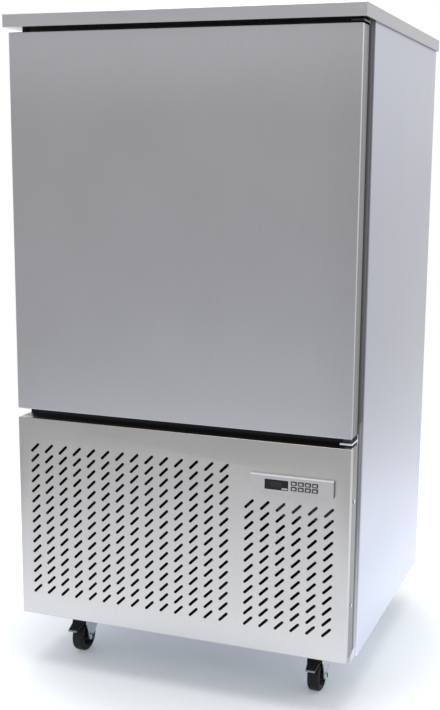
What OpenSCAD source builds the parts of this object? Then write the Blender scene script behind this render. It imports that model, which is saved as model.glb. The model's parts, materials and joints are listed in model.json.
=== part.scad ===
// Blast chiller with one door, on four casters. Millimetres.
// The origin is on the floor, in the middle of the worktop's outline.
// X points to the right, Y to the rear and Z up.

/* [Overall] */
// Width over the side panels
body_w = 787; // [700:1:870]
// How far the worktop stands out over the side panels
worktop_side = 6.5; // [3:0.5:20]
// Depth of the worktop
worktop_d = 745; // [720:5:900]
// Height from the floor to the top of the worktop
total_h = 1480; // [1460:10:1700]
// Height of the worktop's folded edge
worktop_t = 27; // [20:1:40]
// How far the worktop stands out in front of the door
worktop_overhang = 10; // [4:1:20]
// How far the rear panel lies inside the worktop's rear edge
rear_inset = 2.5; // [0:0.5:10]
// Thickness of the sheet steel
sheet_t = 1; // [0.8:0.1:1.5]
// Thickness of the foamed walls with their skins
wall_t = 60; // [50:1:65]

/* [Front frame] */
// Width of a front post
post_w = 20; // [16:1:24]
// Depth of the posts and of the mouth frame
post_d = 37; // [30:1:45]
// How far a post's outer face lies inside the side panel's
post_inset = 4.5; // [3:0.5:6]
// Wall of a post
post_wall = 1.5; // [1:0.1:2]
// How far the frame reaches down behind the lower panel
rail_lap = 12; // [8:1:20]
// Width of the folded edge of a side panel
side_flange = 18; // [12:1:20]

/* [Door] */
// How far the door's and the lower panel's edges lie inside the side panels
front_inset = 2.5; // [1.5:0.5:6]
// Height of the door
door_h = 824; // [780:2:860]
// Depth of the door's pan
door_t = 45; // [38:1:55]
// Gap between the door and the worktop
door_top_gap = 10; // [8:1:16]
// Gap between the door and the lower panel
door_bottom_gap = 20.4; // [18:0.2:26]
// Height from the door's lower edge to the chamber's floor
mouth_margin = 45; // [40:1:60]
// Width of the folded rear edge of the door's pan
door_return = 12; // [8:1:16]
// Thickness of the gasket
gasket_t = 9; // [7:0.5:12]
// Width of the gasket
gasket_w = 28; // [20:1:32]
// Distance from the door's edge to the gasket
gasket_inset = 22; // [20:1:26]
// Gap between the closed gasket and the mouth frame
gasket_gap = 0.3; // [0.1:0.1:0.5]
// Depth of the raised field on the door's inside
plug_t = 14; // [8:1:16]
// Distance from the door's edge to the raised field
plug_inset = 72; // [68:1:90]
// Depth of the grip channel in the door's left edge
grip_depth = 22; // [16:1:24]
// Width of the grip channel
grip_w = 21; // [18:1:24]
// Distance from the door's front to the grip channel
grip_setback = 14; // [10:1:16]
// Distance from the door's top and bottom to the grip channel
grip_end = 62; // [40:1:100]

/* [Hinges] */
// Distance from the door's right edge to the hinge axis
hinge_inset = 15; // [13:1:18]
// Distance from the door's front to the hinge axis
hinge_setback = 22; // [18:1:24]
// Radius of the hinge pin
hinge_pin_r = 5; // [4:0.5:6]
// Length of the pin inside the door
hinge_pin_l = 24; // [16:1:40]
// Outer radius of the bush in the door
bush_r = 8; // [7:0.5:9]
// Thickness of the hinge bracket
bracket_t = 4; // [3:0.5:5]
// Width of the hinge bracket
bracket_w = 26; // [22:1:30]
// Distance from the door's front to the bracket's front edge
bracket_setback = 5; // [3:1:8]
// Free height between the lower bracket and the door
bracket_gap = 9.5; // [8:0.5:10]
// Radial clearance of a running fit
fit_clear = 0.05; // [0.02:0.01:0.1]

/* [Lower panel] */
// Distance from the base to the panel's lower edge
panel_lift = 20; // [16:1:30]
// Thickness of the lower panel's sheet
panel_t = 1.2; // [1:0.1:1.5]
// Width of the panel's folded rear edge
panel_return = 14; // [10:1:18]
// Length of a vent slot
slot_l = 28.4; // [22:0.2:31]
// Width of a vent slot
slot_w = 6.3; // [4:0.1:7]
// Angle of a slot above the horizontal
slot_angle = 45; // [30:1:60]
// Horizontal distance from slot to slot
slot_pitch_x = 35.5; // [35:0.5:45]
// Vertical distance from slot to slot
slot_pitch_z = 24.1; // [24:0.1:32]
// Number of slot columns in the right-hand field
slot_right_columns = 6; // [2:1:7]
// Distance from the panel's left edge to the first column
slot_margin_left = 41.9; // [36:0.1:60]
// Distance from the panel's right edge to the last column
slot_margin_right = 43.6; // [36:0.1:60]
// Distance from the panel's lower edge to the first row
slot_margin_bottom = 64.8; // [40:0.1:90]
// Least distance from the top row to the panel's upper edge
slot_margin_top = 66; // [40:1:90]
// Least distance between the two fields' columns
slot_field_gap = 50; // [40:1:80]
// Radius of a panel screw's head
screw_head_r = 4.5; // [3:0.5:6]

/* [Controller] */
// Width of the controller's faceplate
face_w = 185; // [180:1:190]
// Height of the faceplate
face_h = 38; // [36:1:46]
// How far the faceplate stands out of the panel
face_t = 5.5; // [4:0.5:8]
// Radius of the faceplate's corners
face_corner = 3; // [1:0.5:6]
// Width of the housing behind the panel
housing_w = 150; // [145:1:160]
// Height of the housing behind the panel
housing_h = 29; // [27:1:32]
// Depth of the housing behind the panel
housing_d = 58; // [40:1:70]
// Distance from the panel's right edge to the controller's middle
face_inset = 125; // [115:1:140]
// Distance from the panel's upper edge to the controller's middle
face_drop = 88.6; // [70:0.2:100]
// Clearance between the controller and the edge of its slots
face_slot_clear = 20; // [18:1:40]
// Width of the display window
display_w = 52.5; // [40:0.5:56]
// Height of the display window
display_h = 22; // [14:1:24]
// Distance of the display's middle to the left of the controller's
display_shift = 33.7; // [32:0.1:40]
// Thickness of the display window
display_t = 2; // [1.5:0.5:3]
// Columns of keys
key_columns = 4; // [2:1:4]
// Horizontal distance from key to key
key_pitch_x = 15.5; // [14.5:0.1:17]
// Vertical distance from key to key
key_pitch_z = 11.5; // [10.5:0.1:13]
// Width of a key
key_w = 12.4; // [9:0.1:13]
// Height of a key
key_h = 8.4; // [6:0.1:9]
// Distance of the keys' middle to the right of the controller's
key_shift = 28; // [26:0.5:34]
// How far a key stands out of the faceplate
key_proud = 0.9; // [0.8:0.1:1.5]
// How far a key travels
key_travel = 0.6; // [0.4:0.1:0.8]
// Gap round a key
key_clear = 0.3; // [0.2:0.05:0.4]

/* [Chamber] */
// Number of tray levels
tray_levels = 10; // [4:1:10]
// Distance from level to level
tray_pitch = 65; // [50:1:66]
// Height of the lowest level above the chamber's floor
tray_first = 60; // [50:1:70]
// Clear width between the left and right runners' upright legs
tray_space = 540; // [535:1:560]
// Width of a runner's ledge
ledge_w = 20; // [12:1:26]
// Height of a runner's upright leg
ledge_h = 18; // [10:1:24]
// Thickness of a runner
runner_t = 1.5; // [1:0.1:2]
// Length of a runner
runner_l = 350; // [325:5:370]
// Distance from the chamber's mouth to the runners
runner_setback = 55; // [40:1:70]
// Side of a rack's square upright
upright_w = 20; // [16:1:24]
// Radius of the studs that carry a rack
stud_r = 5; // [3:0.5:6]
// Depth of the space behind the fan baffle
evaporator_space = 130; // [125:1:140]
// Half of the fan baffle's width
baffle_half = 292; // [285:1:300]
// Gap above and below the fan baffle
baffle_gap = 24; // [16:1:40]
// Thickness of the fan baffle
baffle_t = 1.5; // [1:0.1:2]
// Depth of the evaporator coil
evaporator_d = 62; // [50:1:66]
// Radius of an evaporator fan
evaporator_fan_r = 108; // [90:1:112]
// Distance between the two evaporator fans' axes
evaporator_fan_pitch = 340; // [300:5:360]
// Outer radius of the spigot at the drain pipe's end
spigot_r = 12.5; // [10:0.5:16]
// Wall of the spigot
spigot_wall = 2.5; // [1.5:0.5:3]
// Length of the spigot below the base
spigot_l = 28; // [20:1:36]

/* [Machine compartment] */
// Distance from the body's rear to the rear grille
rear_recess = 30; // [28:1:40]
// Thickness of the base tray
base_t = 2; // [1.5:0.5:3]
// Height of the base tray's upturned edge
base_edge = 18; // [12:1:20]
// Free height over the condenser coil
condenser_top_gap = 76.6; // [70:0.2:120]
// Depth of the condenser coil
condenser_d = 50; // [40:1:60]
// Distance from the condenser fan's blades to the coil's edges
condenser_fan_margin = 52; // [45:1:80]
// Distance from the right side panel to the compressor's axis
compressor_side = 212.5; // [200:0.5:230]
// Radius of the compressor's shell
compressor_r = 88; // [75:1:95]
// Height of the compressor's shell, as a share of the machine compartment's height
compressor_share = 0.42; // [0.36:0.01:0.45]
// Radius of the liquid receiver
receiver_r = 50; // [40:1:60]
// Height of the liquid receiver, as a share of the machine compartment's height
receiver_share = 0.48; // [0.4:0.01:0.5]
// Radius of the thinner refrigerant lines
line_r = 5; // [4:0.5:6]
// Radius of the suction line
suction_r = 7; // [6:0.5:8]
// Radius of the hole in the cable gland
gland_bore_r = 5.5; // [4:0.5:6]

/* [Casters] */
// Height of a caster
caster_h = 100; // [100:1:115]
// Height of the cross channels above the casters
channel_h = 8; // [8:1:20]
// Width of a cross channel
channel_w = 95; // [85:1:110]
// Distance from a side panel to a channel's end
channel_end = 4; // [2:1:12]
// Radius of a wheel
wheel_r = 37.5; // [35:0.5:38]
// Width of a tyre
wheel_w = 28; // [22:1:30]
// Distance from the swivel axis to the axle
caster_trail = 35; // [30:1:38]
// Distance from the door's front to the front swivel axes
caster_front = 155; // [150:1:200]
// Distance from the body's rear to the rear swivel axes
caster_rear = 55; // [50:1:90]
// Distance from the side panel to the swivel axis
caster_side = 97.5; // [80:0.5:120]
// Thickness of a fork's leg
fork_t = 2.5; // [2:0.5:3]
// Radius of an axle
axle_r = 4; // [3:0.5:5]
// Radius of a caster's king pin
king_r = 5; // [4:0.5:6]
// Width of a brake pedal
pedal_w = 40; // [30:1:44]

/* [Hidden] */
$fn = 48;

// A cut runs this far past the faces that it opens
cut = 1;
// Bodies that nearly touch keep this gap
gap = 0.3;

// Colours
steel = [0.64, 0.64, 0.66];
pale_steel = [0.75, 0.77, 0.82];
dark_grey = [0.3, 0.3, 0.31];
black = [0.08, 0.08, 0.09];
foam = [0.9, 0.85, 0.6];
zinc = [0.7, 0.74, 0.78];
copper = [0.72, 0.45, 0.3];
fins = [0.78, 0.79, 0.8];

// Depth: from the front to the rear
y_top_front = -worktop_d / 2;
y_top_rear = worktop_d / 2;
y_front = y_top_front + worktop_overhang;
y_door_rear = y_front + door_t;
y_seal = y_door_rear + gasket_t;
y_frame = y_seal + gasket_gap;
y_side = y_frame + post_d;
y_foam = y_side + sheet_t;
y_rear = y_top_rear - rear_inset;

// Height: from the floor up
z_base = caster_h + channel_h;
z_floor = z_base + base_t;
z_body_top = total_h - worktop_t;
z_door_top = z_body_top - door_top_gap;
z_door = z_door_top - door_h;
z_panel = z_base + panel_lift;
z_panel_top = z_door - door_bottom_gap;
z_chamber = z_door + mouth_margin;
z_chamber_top = z_body_top - wall_t;
z_ceiling = z_chamber - wall_t;
z_rail = z_panel_top - rail_lap;
panel_h = z_panel_top - z_panel;

// Width: half values, from the middle outwards
x_body = body_w / 2;
x_worktop = x_body + worktop_side;
x_inner = x_body - sheet_t;
x_post = x_body - post_inset;
x_post_in = x_post - post_w;
x_chamber = x_body - wall_t + sheet_t;
x_front = x_body - front_inset;

// Hinge axis
x_hinge = x_front - hinge_inset;
y_hinge = y_front + hinge_setback;
hinge_hole_l = hinge_pin_l + 2;

// Screws at the sides of the lower panel
screw_r = 2;
screw_end = 120;
lug_t = 3;
lug_half = 8;
y_screw = y_frame - 20;
panel_screw_z = [z_panel + screw_end, z_panel_top - screw_end];

// Tray racks
x_leg = tray_space / 2;
x_upright = x_leg + runner_t;
y_runner = y_foam + runner_setback;
z_first_level = z_chamber + tray_first;

// Chamber fittings
y_chamber_rear = y_rear - wall_t + sheet_t;
y_baffle = y_chamber_rear - evaporator_space;
z_baffle = z_chamber + baffle_gap;
z_baffle_top = z_chamber_top - baffle_gap;
z_fan_middle = (z_chamber + z_chamber_top) / 2;
z_fan_upper = z_fan_middle + evaporator_fan_pitch / 2;
z_fan_lower = z_fan_middle - evaporator_fan_pitch / 2;
fan_tip_clear = 4;
evaporator_fan_d = 24;
motor_arm_t = 3.5;
shaft_r = 4;
y_evaporator_fan = y_baffle - gap - evaporator_fan_d;
coil_end_gap = 10;
drain_y = y_foam + 150;
drain_r = spigot_r + 1.5;
passage_clear = 0.5;

// Controller
x_face = x_front - face_inset;
z_face = z_panel_top - face_drop;
y_face = y_front - face_t;
key_rows = 2;
key_body = 3;
key_corner = 2;
x_keys = x_face + key_shift;
z_keys = z_face - 1;
display_corner = 1.5;
x_display = x_face - display_shift;
z_display = z_face - 2;

// Machine compartment
y_grille = y_rear - rear_recess;
compartment_h = z_rail - z_floor;
compressor_rear = 280;
compressor_at = [x_inner - compressor_side, y_grille - compressor_rear];
compressor_h = compartment_h * compressor_share;
compressor_lift = 20;
receiver_side = 192.5;
receiver_rear = 190;
receiver_at = [-x_inner + receiver_side, y_grille - receiver_rear];
receiver_h = compartment_h * receiver_share;
lane_gap = 16;
lane_clear = 26.5;
x_lane = compressor_at.x - compressor_r - lane_clear;
condenser_side_gap = 42;
condenser_front_gap = 18;
x_condenser = -x_inner + condenser_side_gap;
y_condenser = y_frame + condenser_front_gap;
condenser_w = x_lane - lane_gap - x_condenser;
condenser_h = compartment_h - condenser_top_gap;
condenser_fan_r = min(condenser_w, condenser_h) / 2 - condenser_fan_margin;
shroud_d = 40;
y_shroud = y_condenser + condenser_d + shroud_d;
x_condenser_fan = x_condenser + condenser_w / 2;
z_condenser_fan = z_floor + condenser_h / 2;
condenser_fan_d = 26;
y_lines = y_chamber_rear - evaporator_d / 2;
x_liquid = receiver_at.x;
line_pitch = 40;
x_suction = x_liquid + line_pitch;
gland_side = 92.5;
gland_lift = 60;
gland_at = [x_inner - gland_side, z_floor + gland_lift];
gland_thread_r = 10;

// Casters
y_caster_front = y_front + caster_front;
y_caster_rear = y_rear - caster_rear;
x_caster = x_body - caster_side;
plate_t = 3;
raceway_h = 8;
fork_plate_t = 5;
z_plate = caster_h - plate_t;
z_raceway = z_plate - raceway_h;
z_fork_top = z_raceway - gap;
hub_w = wheel_w + 7;
fork_in = hub_w / 2 + gap;
fork_out = fork_in + fork_t;
pedal_pivot = [-48, 78.3];
pedal_pin_r = 2.5;
caster_spots = [
    [-x_caster, y_caster_front],
    [x_caster, y_caster_front],
    [-x_caster, y_caster_rear],
    [x_caster, y_caster_rear]
];

// ---- Shared shapes ----

module block(from, to) {
    translate(from)
        cube(to - from);
}

// A cylinder along Y that starts at the point "at"
module rod_y(at, r, l) {
    translate(at)
        rotate([-90, 0, 0])
            cylinder(r = r, h = l);
}

// A cylinder along X, centred on the point "at"
module rod_x(at, r, l) {
    translate(at)
        rotate([0, 90, 0])
            cylinder(r = r, h = l, center = true);
}

// A flat plate with round corners, standing in the XZ plane, with its front at y
module round_plate(x, y, z, w, h, t, r) {
    translate([x, y + t, z])
        rotate([90, 0, 0])
            linear_extrude(t)
                round_rect(w, h, r);
}

module round_rect(w, h, r) {
    square([w - 2 * r, h], center = true);
    square([w, h - 2 * r], center = true);
    for (sx = [-1, 1], sz = [-1, 1])
        translate([sx * (w / 2 - r), sz * (h / 2 - r)])
            circle(r);
}

module slot_outline(l, w) {
    square([l - w, w], center = true);
    for (s = [-1, 1])
        translate([s * (l - w) / 2, 0])
            circle(w / 2, $fn = 24);
}

// A bent pipe: straight lengths with a brazed elbow at each corner
module pipe(points, r) {
    for (i = [0 : len(points) - 2]) {
        step = points[i + 1] - points[i];
        length = norm(step);
        translate(points[i])
            rotate([0, acos(step.z / length), atan2(step.y, step.x)])
                cylinder(r = r, h = length);
    }
    for (i = [1 : len(points) - 2])
        translate(points[i])
            sphere(r * 1.25);
}

// An axial fan round the Y axis, with its front at y = 0
module fan(r, d, hub_r, blades) {
    pitch_angle = 32;
    blade_t = 2;
    difference() {
        union() {
            rod_y([0, 0, 0], hub_r, d);
            intersection() {
                rod_y([0, 0, 0], r, d);
                for (i = [0 : blades - 1])
                    rotate([0, i * 360 / blades, 0])
                        translate([hub_r - 4, d / 2, 0])
                            rotate([pitch_angle, 0, 0])
                                translate([0, -blade_t / 2, -r * 0.36])
                                    cube([r, blade_t, r * 0.72]);
            }
        }
        rod_y([0, -cut, 0], shaft_r + fit_clear, d + 2 * cut);
    }
}

// A motor behind a fan opening, held by three arms, with its shaft towards the front
module fan_motor(at, ring_r, body_r, body_l, shaft_l) {
    arm_w = 12;
    translate(at) {
        rod_y([0, motor_arm_t, 0], body_r, body_l);
        rod_y([0, -shaft_l, 0], shaft_r, shaft_l + motor_arm_t + cut);
        rod_y([0, 0, 0], body_r * 0.6, motor_arm_t);
        for (i = [0 : 2])
            rotate([0, 90 + i * 120, 0])
                translate([0, 0, -arm_w / 2])
                    cube([ring_r, motor_arm_t, arm_w]);
    }
}

// Upright fins between end plates, a bottom and a top channel, with tube bends at both ends
module finned_coil(from, to, fin_pitch) {
    plate = 2;
    fin_t = 0.8;
    tube_r = 5;
    row_pitch = 50;
    size = to - from;
    fin_count = floor((size.x - 2 * plate) / fin_pitch);
    rows = floor(size.z / row_pitch) - 1;
    bend_r = size.y / 4;
    for (x = [from.x, to.x - plate])
        block([x, from.y, from.z], [x + plate, to.y, to.z]);
    for (z = [from.z, to.z - plate])
        block([from.x, from.y, z], [to.x, to.y, z + plate]);
    for (i = [1 : fin_count])
        block([from.x + i * fin_pitch, from.y, from.z], [from.x + i * fin_pitch + fin_t, to.y, to.z]);
    for (i = [1 : rows], end = [0, 1])
        translate([end == 0 ? from.x + cut : to.x - cut, (from.y + to.y) / 2, from.z + i * row_pitch])
            mirror([1 - end, 0, 0])
                rotate_extrude(angle = 180, start = -90)
                    translate([bend_r, 0])
                        circle(tube_r, $fn = 24);
}

// ---- Outer body ----

module worktop() {
    color(steel)
        difference() {
            block([-x_worktop, y_top_front, z_body_top], [x_worktop, y_top_rear, total_h]);
            block([-x_worktop + sheet_t, y_top_front + sheet_t, z_body_top - cut],
                [x_worktop - sheet_t, y_top_rear - sheet_t, total_h - sheet_t]);
        }
}

module worktop_board() {
    color("burlywood")
        block([-x_worktop + sheet_t, y_top_front + sheet_t, z_body_top],
            [x_worktop - sheet_t, y_top_rear - sheet_t, total_h - sheet_t]);
}

module side_panel() {
    block([x_inner, y_side, z_base], [x_body, y_rear, z_body_top]);
    block([x_body - side_flange, y_side, z_base], [x_body, y_foam, z_body_top]);
}

module left_side_panel() {
    color(pale_steel)
        mirror([1, 0, 0])
            side_panel();
}

module right_side_panel() {
    color(pale_steel)
        side_panel();
}

module rear_panel() {
    color(steel)
        block([-x_inner, y_rear - sheet_t, z_ceiling], [x_inner, y_rear, z_body_top]);
}

module rear_grille() {
    rows = 14;
    columns = 5;
    vent_l = 70;
    vent_w = 8;
    side_margin = 152.5;
    foot_margin = 90;
    head_margin = 118;
    pitch_x = 90;
    pitch_z = (z_ceiling - z_floor - foot_margin - head_margin) / (rows - 1);
    x_first = -x_inner + side_margin;
    z_first = z_floor + foot_margin;
    color(steel)
        difference() {
            block([-x_inner, y_grille - sheet_t, z_floor], [x_inner, y_grille, z_ceiling]);
            translate([x_first, y_grille + cut, z_first])
                rotate([90, 0, 0])
                    linear_extrude(sheet_t + 2 * cut)
                        for (i = [0 : columns - 1], j = [0 : rows - 1])
                            translate([i * pitch_x, j * pitch_z])
                                slot_outline(vent_l, vent_w);
            rod_y([gland_at.x, y_grille - sheet_t - cut, gland_at.y], gland_thread_r + 0.1,
                sheet_t + 2 * cut);
        }
}

module compartment_ceiling() {
    color(pale_steel)
        difference() {
            block([-x_inner, y_foam, z_ceiling], [x_inner, y_rear - sheet_t, z_ceiling + sheet_t]);
            services();
        }
}

module base_tray() {
    color(steel)
        difference() {
            union() {
                block([-x_post, y_frame, z_base], [x_post, y_foam, z_floor]);
                block([-x_inner, y_foam, z_base], [x_inner, y_rear, z_floor]);
                block([-x_post_in, y_frame, z_base], [x_post_in, y_frame + base_t, z_floor + base_edge]);
                for (s = [0, 1])
                    mirror([s, 0, 0])
                        block([x_inner - base_t, y_foam, z_base],
                            [x_inner, y_grille - sheet_t, z_floor + base_edge]);
            }
            for (s = [0, 1])
                mirror([s, 0, 0])
                    block([x_body - side_flange - gap, y_side - gap, z_base - cut],
                        [x_body, y_foam, z_floor + cut]);
            translate([0, drain_y, z_base - cut])
                cylinder(r = drain_r + passage_clear, h = base_t + 2 * cut);
        }
}

module base_channels() {
    color(dark_grey)
        for (y = [y_caster_front, y_caster_rear])
            difference() {
                block([-x_body + channel_end, y - channel_w / 2, caster_h],
                    [x_body - channel_end, y + channel_w / 2, z_base]);
                block([-x_body + channel_end - cut, y - channel_w / 2 + base_t, caster_h + base_t],
                    [x_body - channel_end + cut, y + channel_w / 2 - base_t, z_base + cut]);
            }
}

module front_posts() {
    color(dark_grey)
        for (s = [0, 1])
            mirror([s, 0, 0])
                difference() {
                    block([x_post_in, y_frame, z_floor], [x_post, y_side, z_body_top]);
                    block([x_post_in + post_wall, y_frame + post_wall, z_floor - cut],
                        [x_post - post_wall, y_side - post_wall, z_body_top + cut]);
                }
}

module mouth_frame() {
    color(dark_grey) {
        for (s = [0, 1])
            mirror([s, 0, 0])
                block([x_chamber, y_frame, z_rail], [x_post_in, y_foam, z_body_top]);
        block([-x_chamber, y_frame, z_chamber_top], [x_chamber, y_foam, z_body_top]);
        block([-x_chamber, y_frame, z_rail], [x_chamber, y_foam, z_chamber]);
    }
}

// ---- Foamed cabinet ----

// Passages through the chamber's floor: the drain and the two refrigerant lines
module services() {
    translate([0, drain_y, 0])
        passage(drain_r + passage_clear);
    translate([x_liquid, y_lines, 0])
        passage(line_r + passage_clear);
    translate([x_suction, y_lines, 0])
        passage(suction_r + passage_clear);
}

module passage(r) {
    translate([0, 0, z_ceiling - cut])
        cylinder(r = r, h = wall_t + 2 * cut);
}

module cabinet_insulation() {
    color(foam)
        difference() {
            block([-x_inner, y_foam, z_ceiling + sheet_t], [x_inner, y_rear - sheet_t, z_body_top]);
            block([-x_chamber - sheet_t, y_foam - cut, z_chamber - sheet_t],
                [x_chamber + sheet_t, y_chamber_rear + sheet_t, z_chamber_top + sheet_t]);
            services();
        }
}

module chamber_liner() {
    color(pale_steel)
        difference() {
            block([-x_chamber - sheet_t, y_foam, z_chamber - sheet_t],
                [x_chamber + sheet_t, y_chamber_rear + sheet_t, z_chamber_top + sheet_t]);
            block([-x_chamber, y_foam - cut, z_chamber], [x_chamber, y_chamber_rear, z_chamber_top]);
            services();
        }
}

// ---- Door ----

// The hollow of the grip channel, grown by "grow" into the door
module grip_space(grow) {
    block([-x_front - cut, y_front + grip_setback - grow, z_door + grip_end - grow],
        [-x_front + grip_depth + grow, y_front + grip_setback + grip_w + grow, z_door_top - grip_end + grow]);
}

// A block in the door, "side" inside its edges, from y_from to y_to
module door_block(side, y_from, y_to) {
    block([-x_front + side, y_from, z_door + side], [x_front - side, y_to, z_door_top - side]);
}

module hinge_holes(r) {
    translate([x_hinge, y_hinge, z_door - cut])
        cylinder(r = r, h = hinge_hole_l + cut);
    translate([x_hinge, y_hinge, z_door_top - hinge_hole_l])
        cylinder(r = r, h = hinge_hole_l + cut);
}

module door_skin() {
    color(steel)
        difference() {
            union() {
                difference() {
                    door_block(0, y_front, y_door_rear);
                    door_block(sheet_t, y_front + sheet_t, y_door_rear - sheet_t);
                    door_block(door_return, y_front + sheet_t, y_door_rear + cut);
                }
                intersection() {
                    grip_space(sheet_t);
                    door_block(0, y_front, y_door_rear);
                }
            }
            grip_space(0);
            hinge_holes(bush_r);
        }
}

module door_insulation() {
    color(foam)
        difference() {
            union() {
                door_block(sheet_t, y_front + sheet_t, y_door_rear - sheet_t);
                door_block(plug_inset + sheet_t, y_door_rear - 2 * sheet_t, y_door_rear + plug_t - sheet_t);
            }
            grip_space(sheet_t);
            hinge_holes(bush_r);
        }
}

// The inner skin lies inside the pan's folded edge and rises to the raised field
module door_liner() {
    color(pale_steel)
        difference() {
            union() {
                door_block(door_return, y_door_rear - sheet_t, y_door_rear);
                door_block(plug_inset, y_door_rear - sheet_t, y_door_rear + plug_t);
            }
            door_block(plug_inset + sheet_t, y_door_rear - sheet_t - cut, y_door_rear + plug_t - sheet_t);
        }
}

module door_gasket() {
    color(black)
        difference() {
            door_block(gasket_inset, y_door_rear, y_seal);
            door_block(gasket_inset + gasket_w, y_door_rear - cut, y_seal + cut);
        }
}

// Bracket plate with its screw flange on the frame, hole included
module hinge_bracket(z, flange_z, flange_h) {
    axis_shift = 2;
    x_plate = x_hinge - bracket_w / 2 + axis_shift;
    difference() {
        union() {
            block([x_plate, y_front + bracket_setback, z], [x_plate + bracket_w, y_frame, z + bracket_t]);
            block([x_plate, y_frame - bracket_t, flange_z],
                [x_plate + bracket_w, y_frame, flange_z + flange_h]);
        }
        translate([x_hinge, y_hinge, z - cut])
            cylinder(r = hinge_pin_r + 0.01, h = bracket_t + 2 * cut);
    }
}

module hinges() {
    z_lower = z_door - bracket_gap - bracket_t;
    z_upper = z_door_top + (door_top_gap - bracket_t) / 2;
    pin_end = 3;
    color(zinc) {
        hinge_bracket(z_lower, z_panel_top + gap, door_bottom_gap - 2 * gap);
        hinge_bracket(z_upper, z_door_top + gap, door_top_gap - gap);
        translate([x_hinge, y_hinge, z_lower - pin_end])
            cylinder(r = hinge_pin_r, h = pin_end + bracket_t + bracket_gap + hinge_pin_l);
        translate([x_hinge, y_hinge, z_door_top - hinge_pin_l])
            cylinder(r = hinge_pin_r, h = z_upper + bracket_t - z_door_top + hinge_pin_l);
    }
}

module hinge_bushes() {
    collar_r = bush_r + 3;
    color(black) {
        difference() {
            union() {
                translate([x_hinge, y_hinge, z_door - bracket_gap + gap])
                    cylinder(r = collar_r, h = bracket_gap - gap);
                translate([x_hinge, y_hinge, z_door])
                    cylinder(r = bush_r, h = hinge_hole_l);
            }
            translate([x_hinge, y_hinge, z_door - bracket_gap - cut])
                cylinder(r = hinge_pin_r + fit_clear, h = bracket_gap + hinge_hole_l + 2 * cut);
        }
        difference() {
            translate([x_hinge, y_hinge, z_door_top - hinge_hole_l])
                cylinder(r = bush_r, h = hinge_hole_l);
            translate([x_hinge, y_hinge, z_door_top - hinge_hole_l - cut])
                cylinder(r = hinge_pin_r + fit_clear, h = hinge_hole_l + 2 * cut);
        }
    }
}

// ---- Lower panel and controller ----

module slot_field(x_first, columns, rows) {
    translate([x_first, y_front + panel_t + cut, z_panel + slot_margin_bottom])
        rotate([90, 0, 0])
            linear_extrude(panel_t + 2 * cut)
                for (i = [0 : columns - 1], j = [0 : rows - 1])
                    translate([i * slot_pitch_x, j * slot_pitch_z])
                        rotate(slot_angle)
                            slot_outline(slot_l, slot_w);
}

module lower_panel() {
    x_left = -x_front + slot_margin_left;
    x_right = x_front - slot_margin_right - (slot_right_columns - 1) * slot_pitch_x;
    left_columns = floor((x_right - slot_field_gap - x_left) / slot_pitch_x) + 1;
    left_rows = floor((panel_h - slot_margin_bottom - slot_margin_top) / slot_pitch_z) + 1;
    right_span = z_face - face_h / 2 - face_slot_clear - z_panel - slot_margin_bottom;
    right_rows = floor(right_span / slot_pitch_z) + 1;
    color(steel)
        difference() {
            block([-x_front, y_front, z_panel], [x_front, y_frame, z_panel_top]);
            block([-x_front + panel_t, y_front + panel_t, z_panel + panel_t],
                [x_front - panel_t, y_frame - panel_t, z_panel_top - panel_t]);
            block([-x_front + panel_return, y_front + panel_t, z_panel + panel_return],
                [x_front - panel_return, y_frame + cut, z_panel_top - panel_return]);
            slot_field(x_left, left_columns, left_rows);
            slot_field(x_right, slot_right_columns, right_rows);
            housing_block(housing_w + 2 * gap, housing_h + 2 * gap, panel_t + cut, y_front - cut / 2);
            for (s = [-1, 1], z = panel_screw_z) {
                rod_x([s * x_front, y_screw, z], screw_r, 4 * panel_t);
                screw_lug(s, z, gap);
            }
        }
}

// A lug that reaches from a post into the panel, or with "grow" the notch for it in the fold
module screw_lug(s, z, grow) {
    block_between([s * (x_front - panel_t), y_screw - lug_half, z - lug_half - grow],
        [s * (x_front - panel_t - lug_t - grow), y_frame + grow, z + lug_half + grow]);
}

// Screws that hold the panel's sides to lugs on the posts
module panel_screws() {
    head_t = 1.6;
    shank_l = panel_t + lug_t + head_t;
    x_shank = x_front + head_t - shank_l / 2;
    color(zinc)
        for (s = [-1, 1], z = panel_screw_z) {
            rod_x([s * (x_front + head_t / 2), y_screw, z], screw_head_r, head_t);
            rod_x([s * x_shank, y_screw, z], screw_r - 0.02, shank_l);
            screw_lug(s, z, 0);
        }
}

// A block between two opposite corners given in any order
module block_between(a, b) {
    low = [min(a.x, b.x), min(a.y, b.y), min(a.z, b.z)];
    high = [max(a.x, b.x), max(a.y, b.y), max(a.z, b.z)];
    block(low, high);
}

module housing_block(w, h, d, y) {
    block([x_face - w / 2, y, z_face - h / 2], [x_face + w / 2, y + d, z_face + h / 2]);
}

// Middle of key number i, counted from the top left
function key_at(i) = [
    x_keys + (i % key_columns - (key_columns - 1) / 2) * key_pitch_x,
    z_keys + ((key_rows - 1) / 2 - floor(i / key_columns)) * key_pitch_z
];

module controller_housing() {
    key_hole_d = key_body + key_travel + gap;
    color(steel)
        difference() {
            union() {
                round_plate(x_face, y_face, z_face, face_w, face_h, face_t, face_corner);
                housing_block(housing_w, housing_h, housing_d, y_front - cut / 2);
            }
            round_plate(x_display, y_face - cut, z_display, display_w, display_h, display_t + cut,
                display_corner);
            for (i = [0 : key_columns * key_rows - 1])
                round_plate(key_at(i).x, y_face - cut, key_at(i).y, key_w + 2 * key_clear,
                    key_h + 2 * key_clear, cut + key_hole_d, key_corner);
        }
}

module display_window() {
    seat_clear = 0.1;
    color(black)
        round_plate(x_display, y_face + gap, z_display, display_w - seat_clear, display_h - seat_clear,
            display_t - gap, display_corner);
}

module key(i) {
    spot = key_at(i - 1);
    color(steel)
        round_plate(spot.x, y_face - key_proud, spot.y, key_w, key_h, key_body + key_proud, key_corner);
}

// ---- Chamber fittings ----

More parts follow.
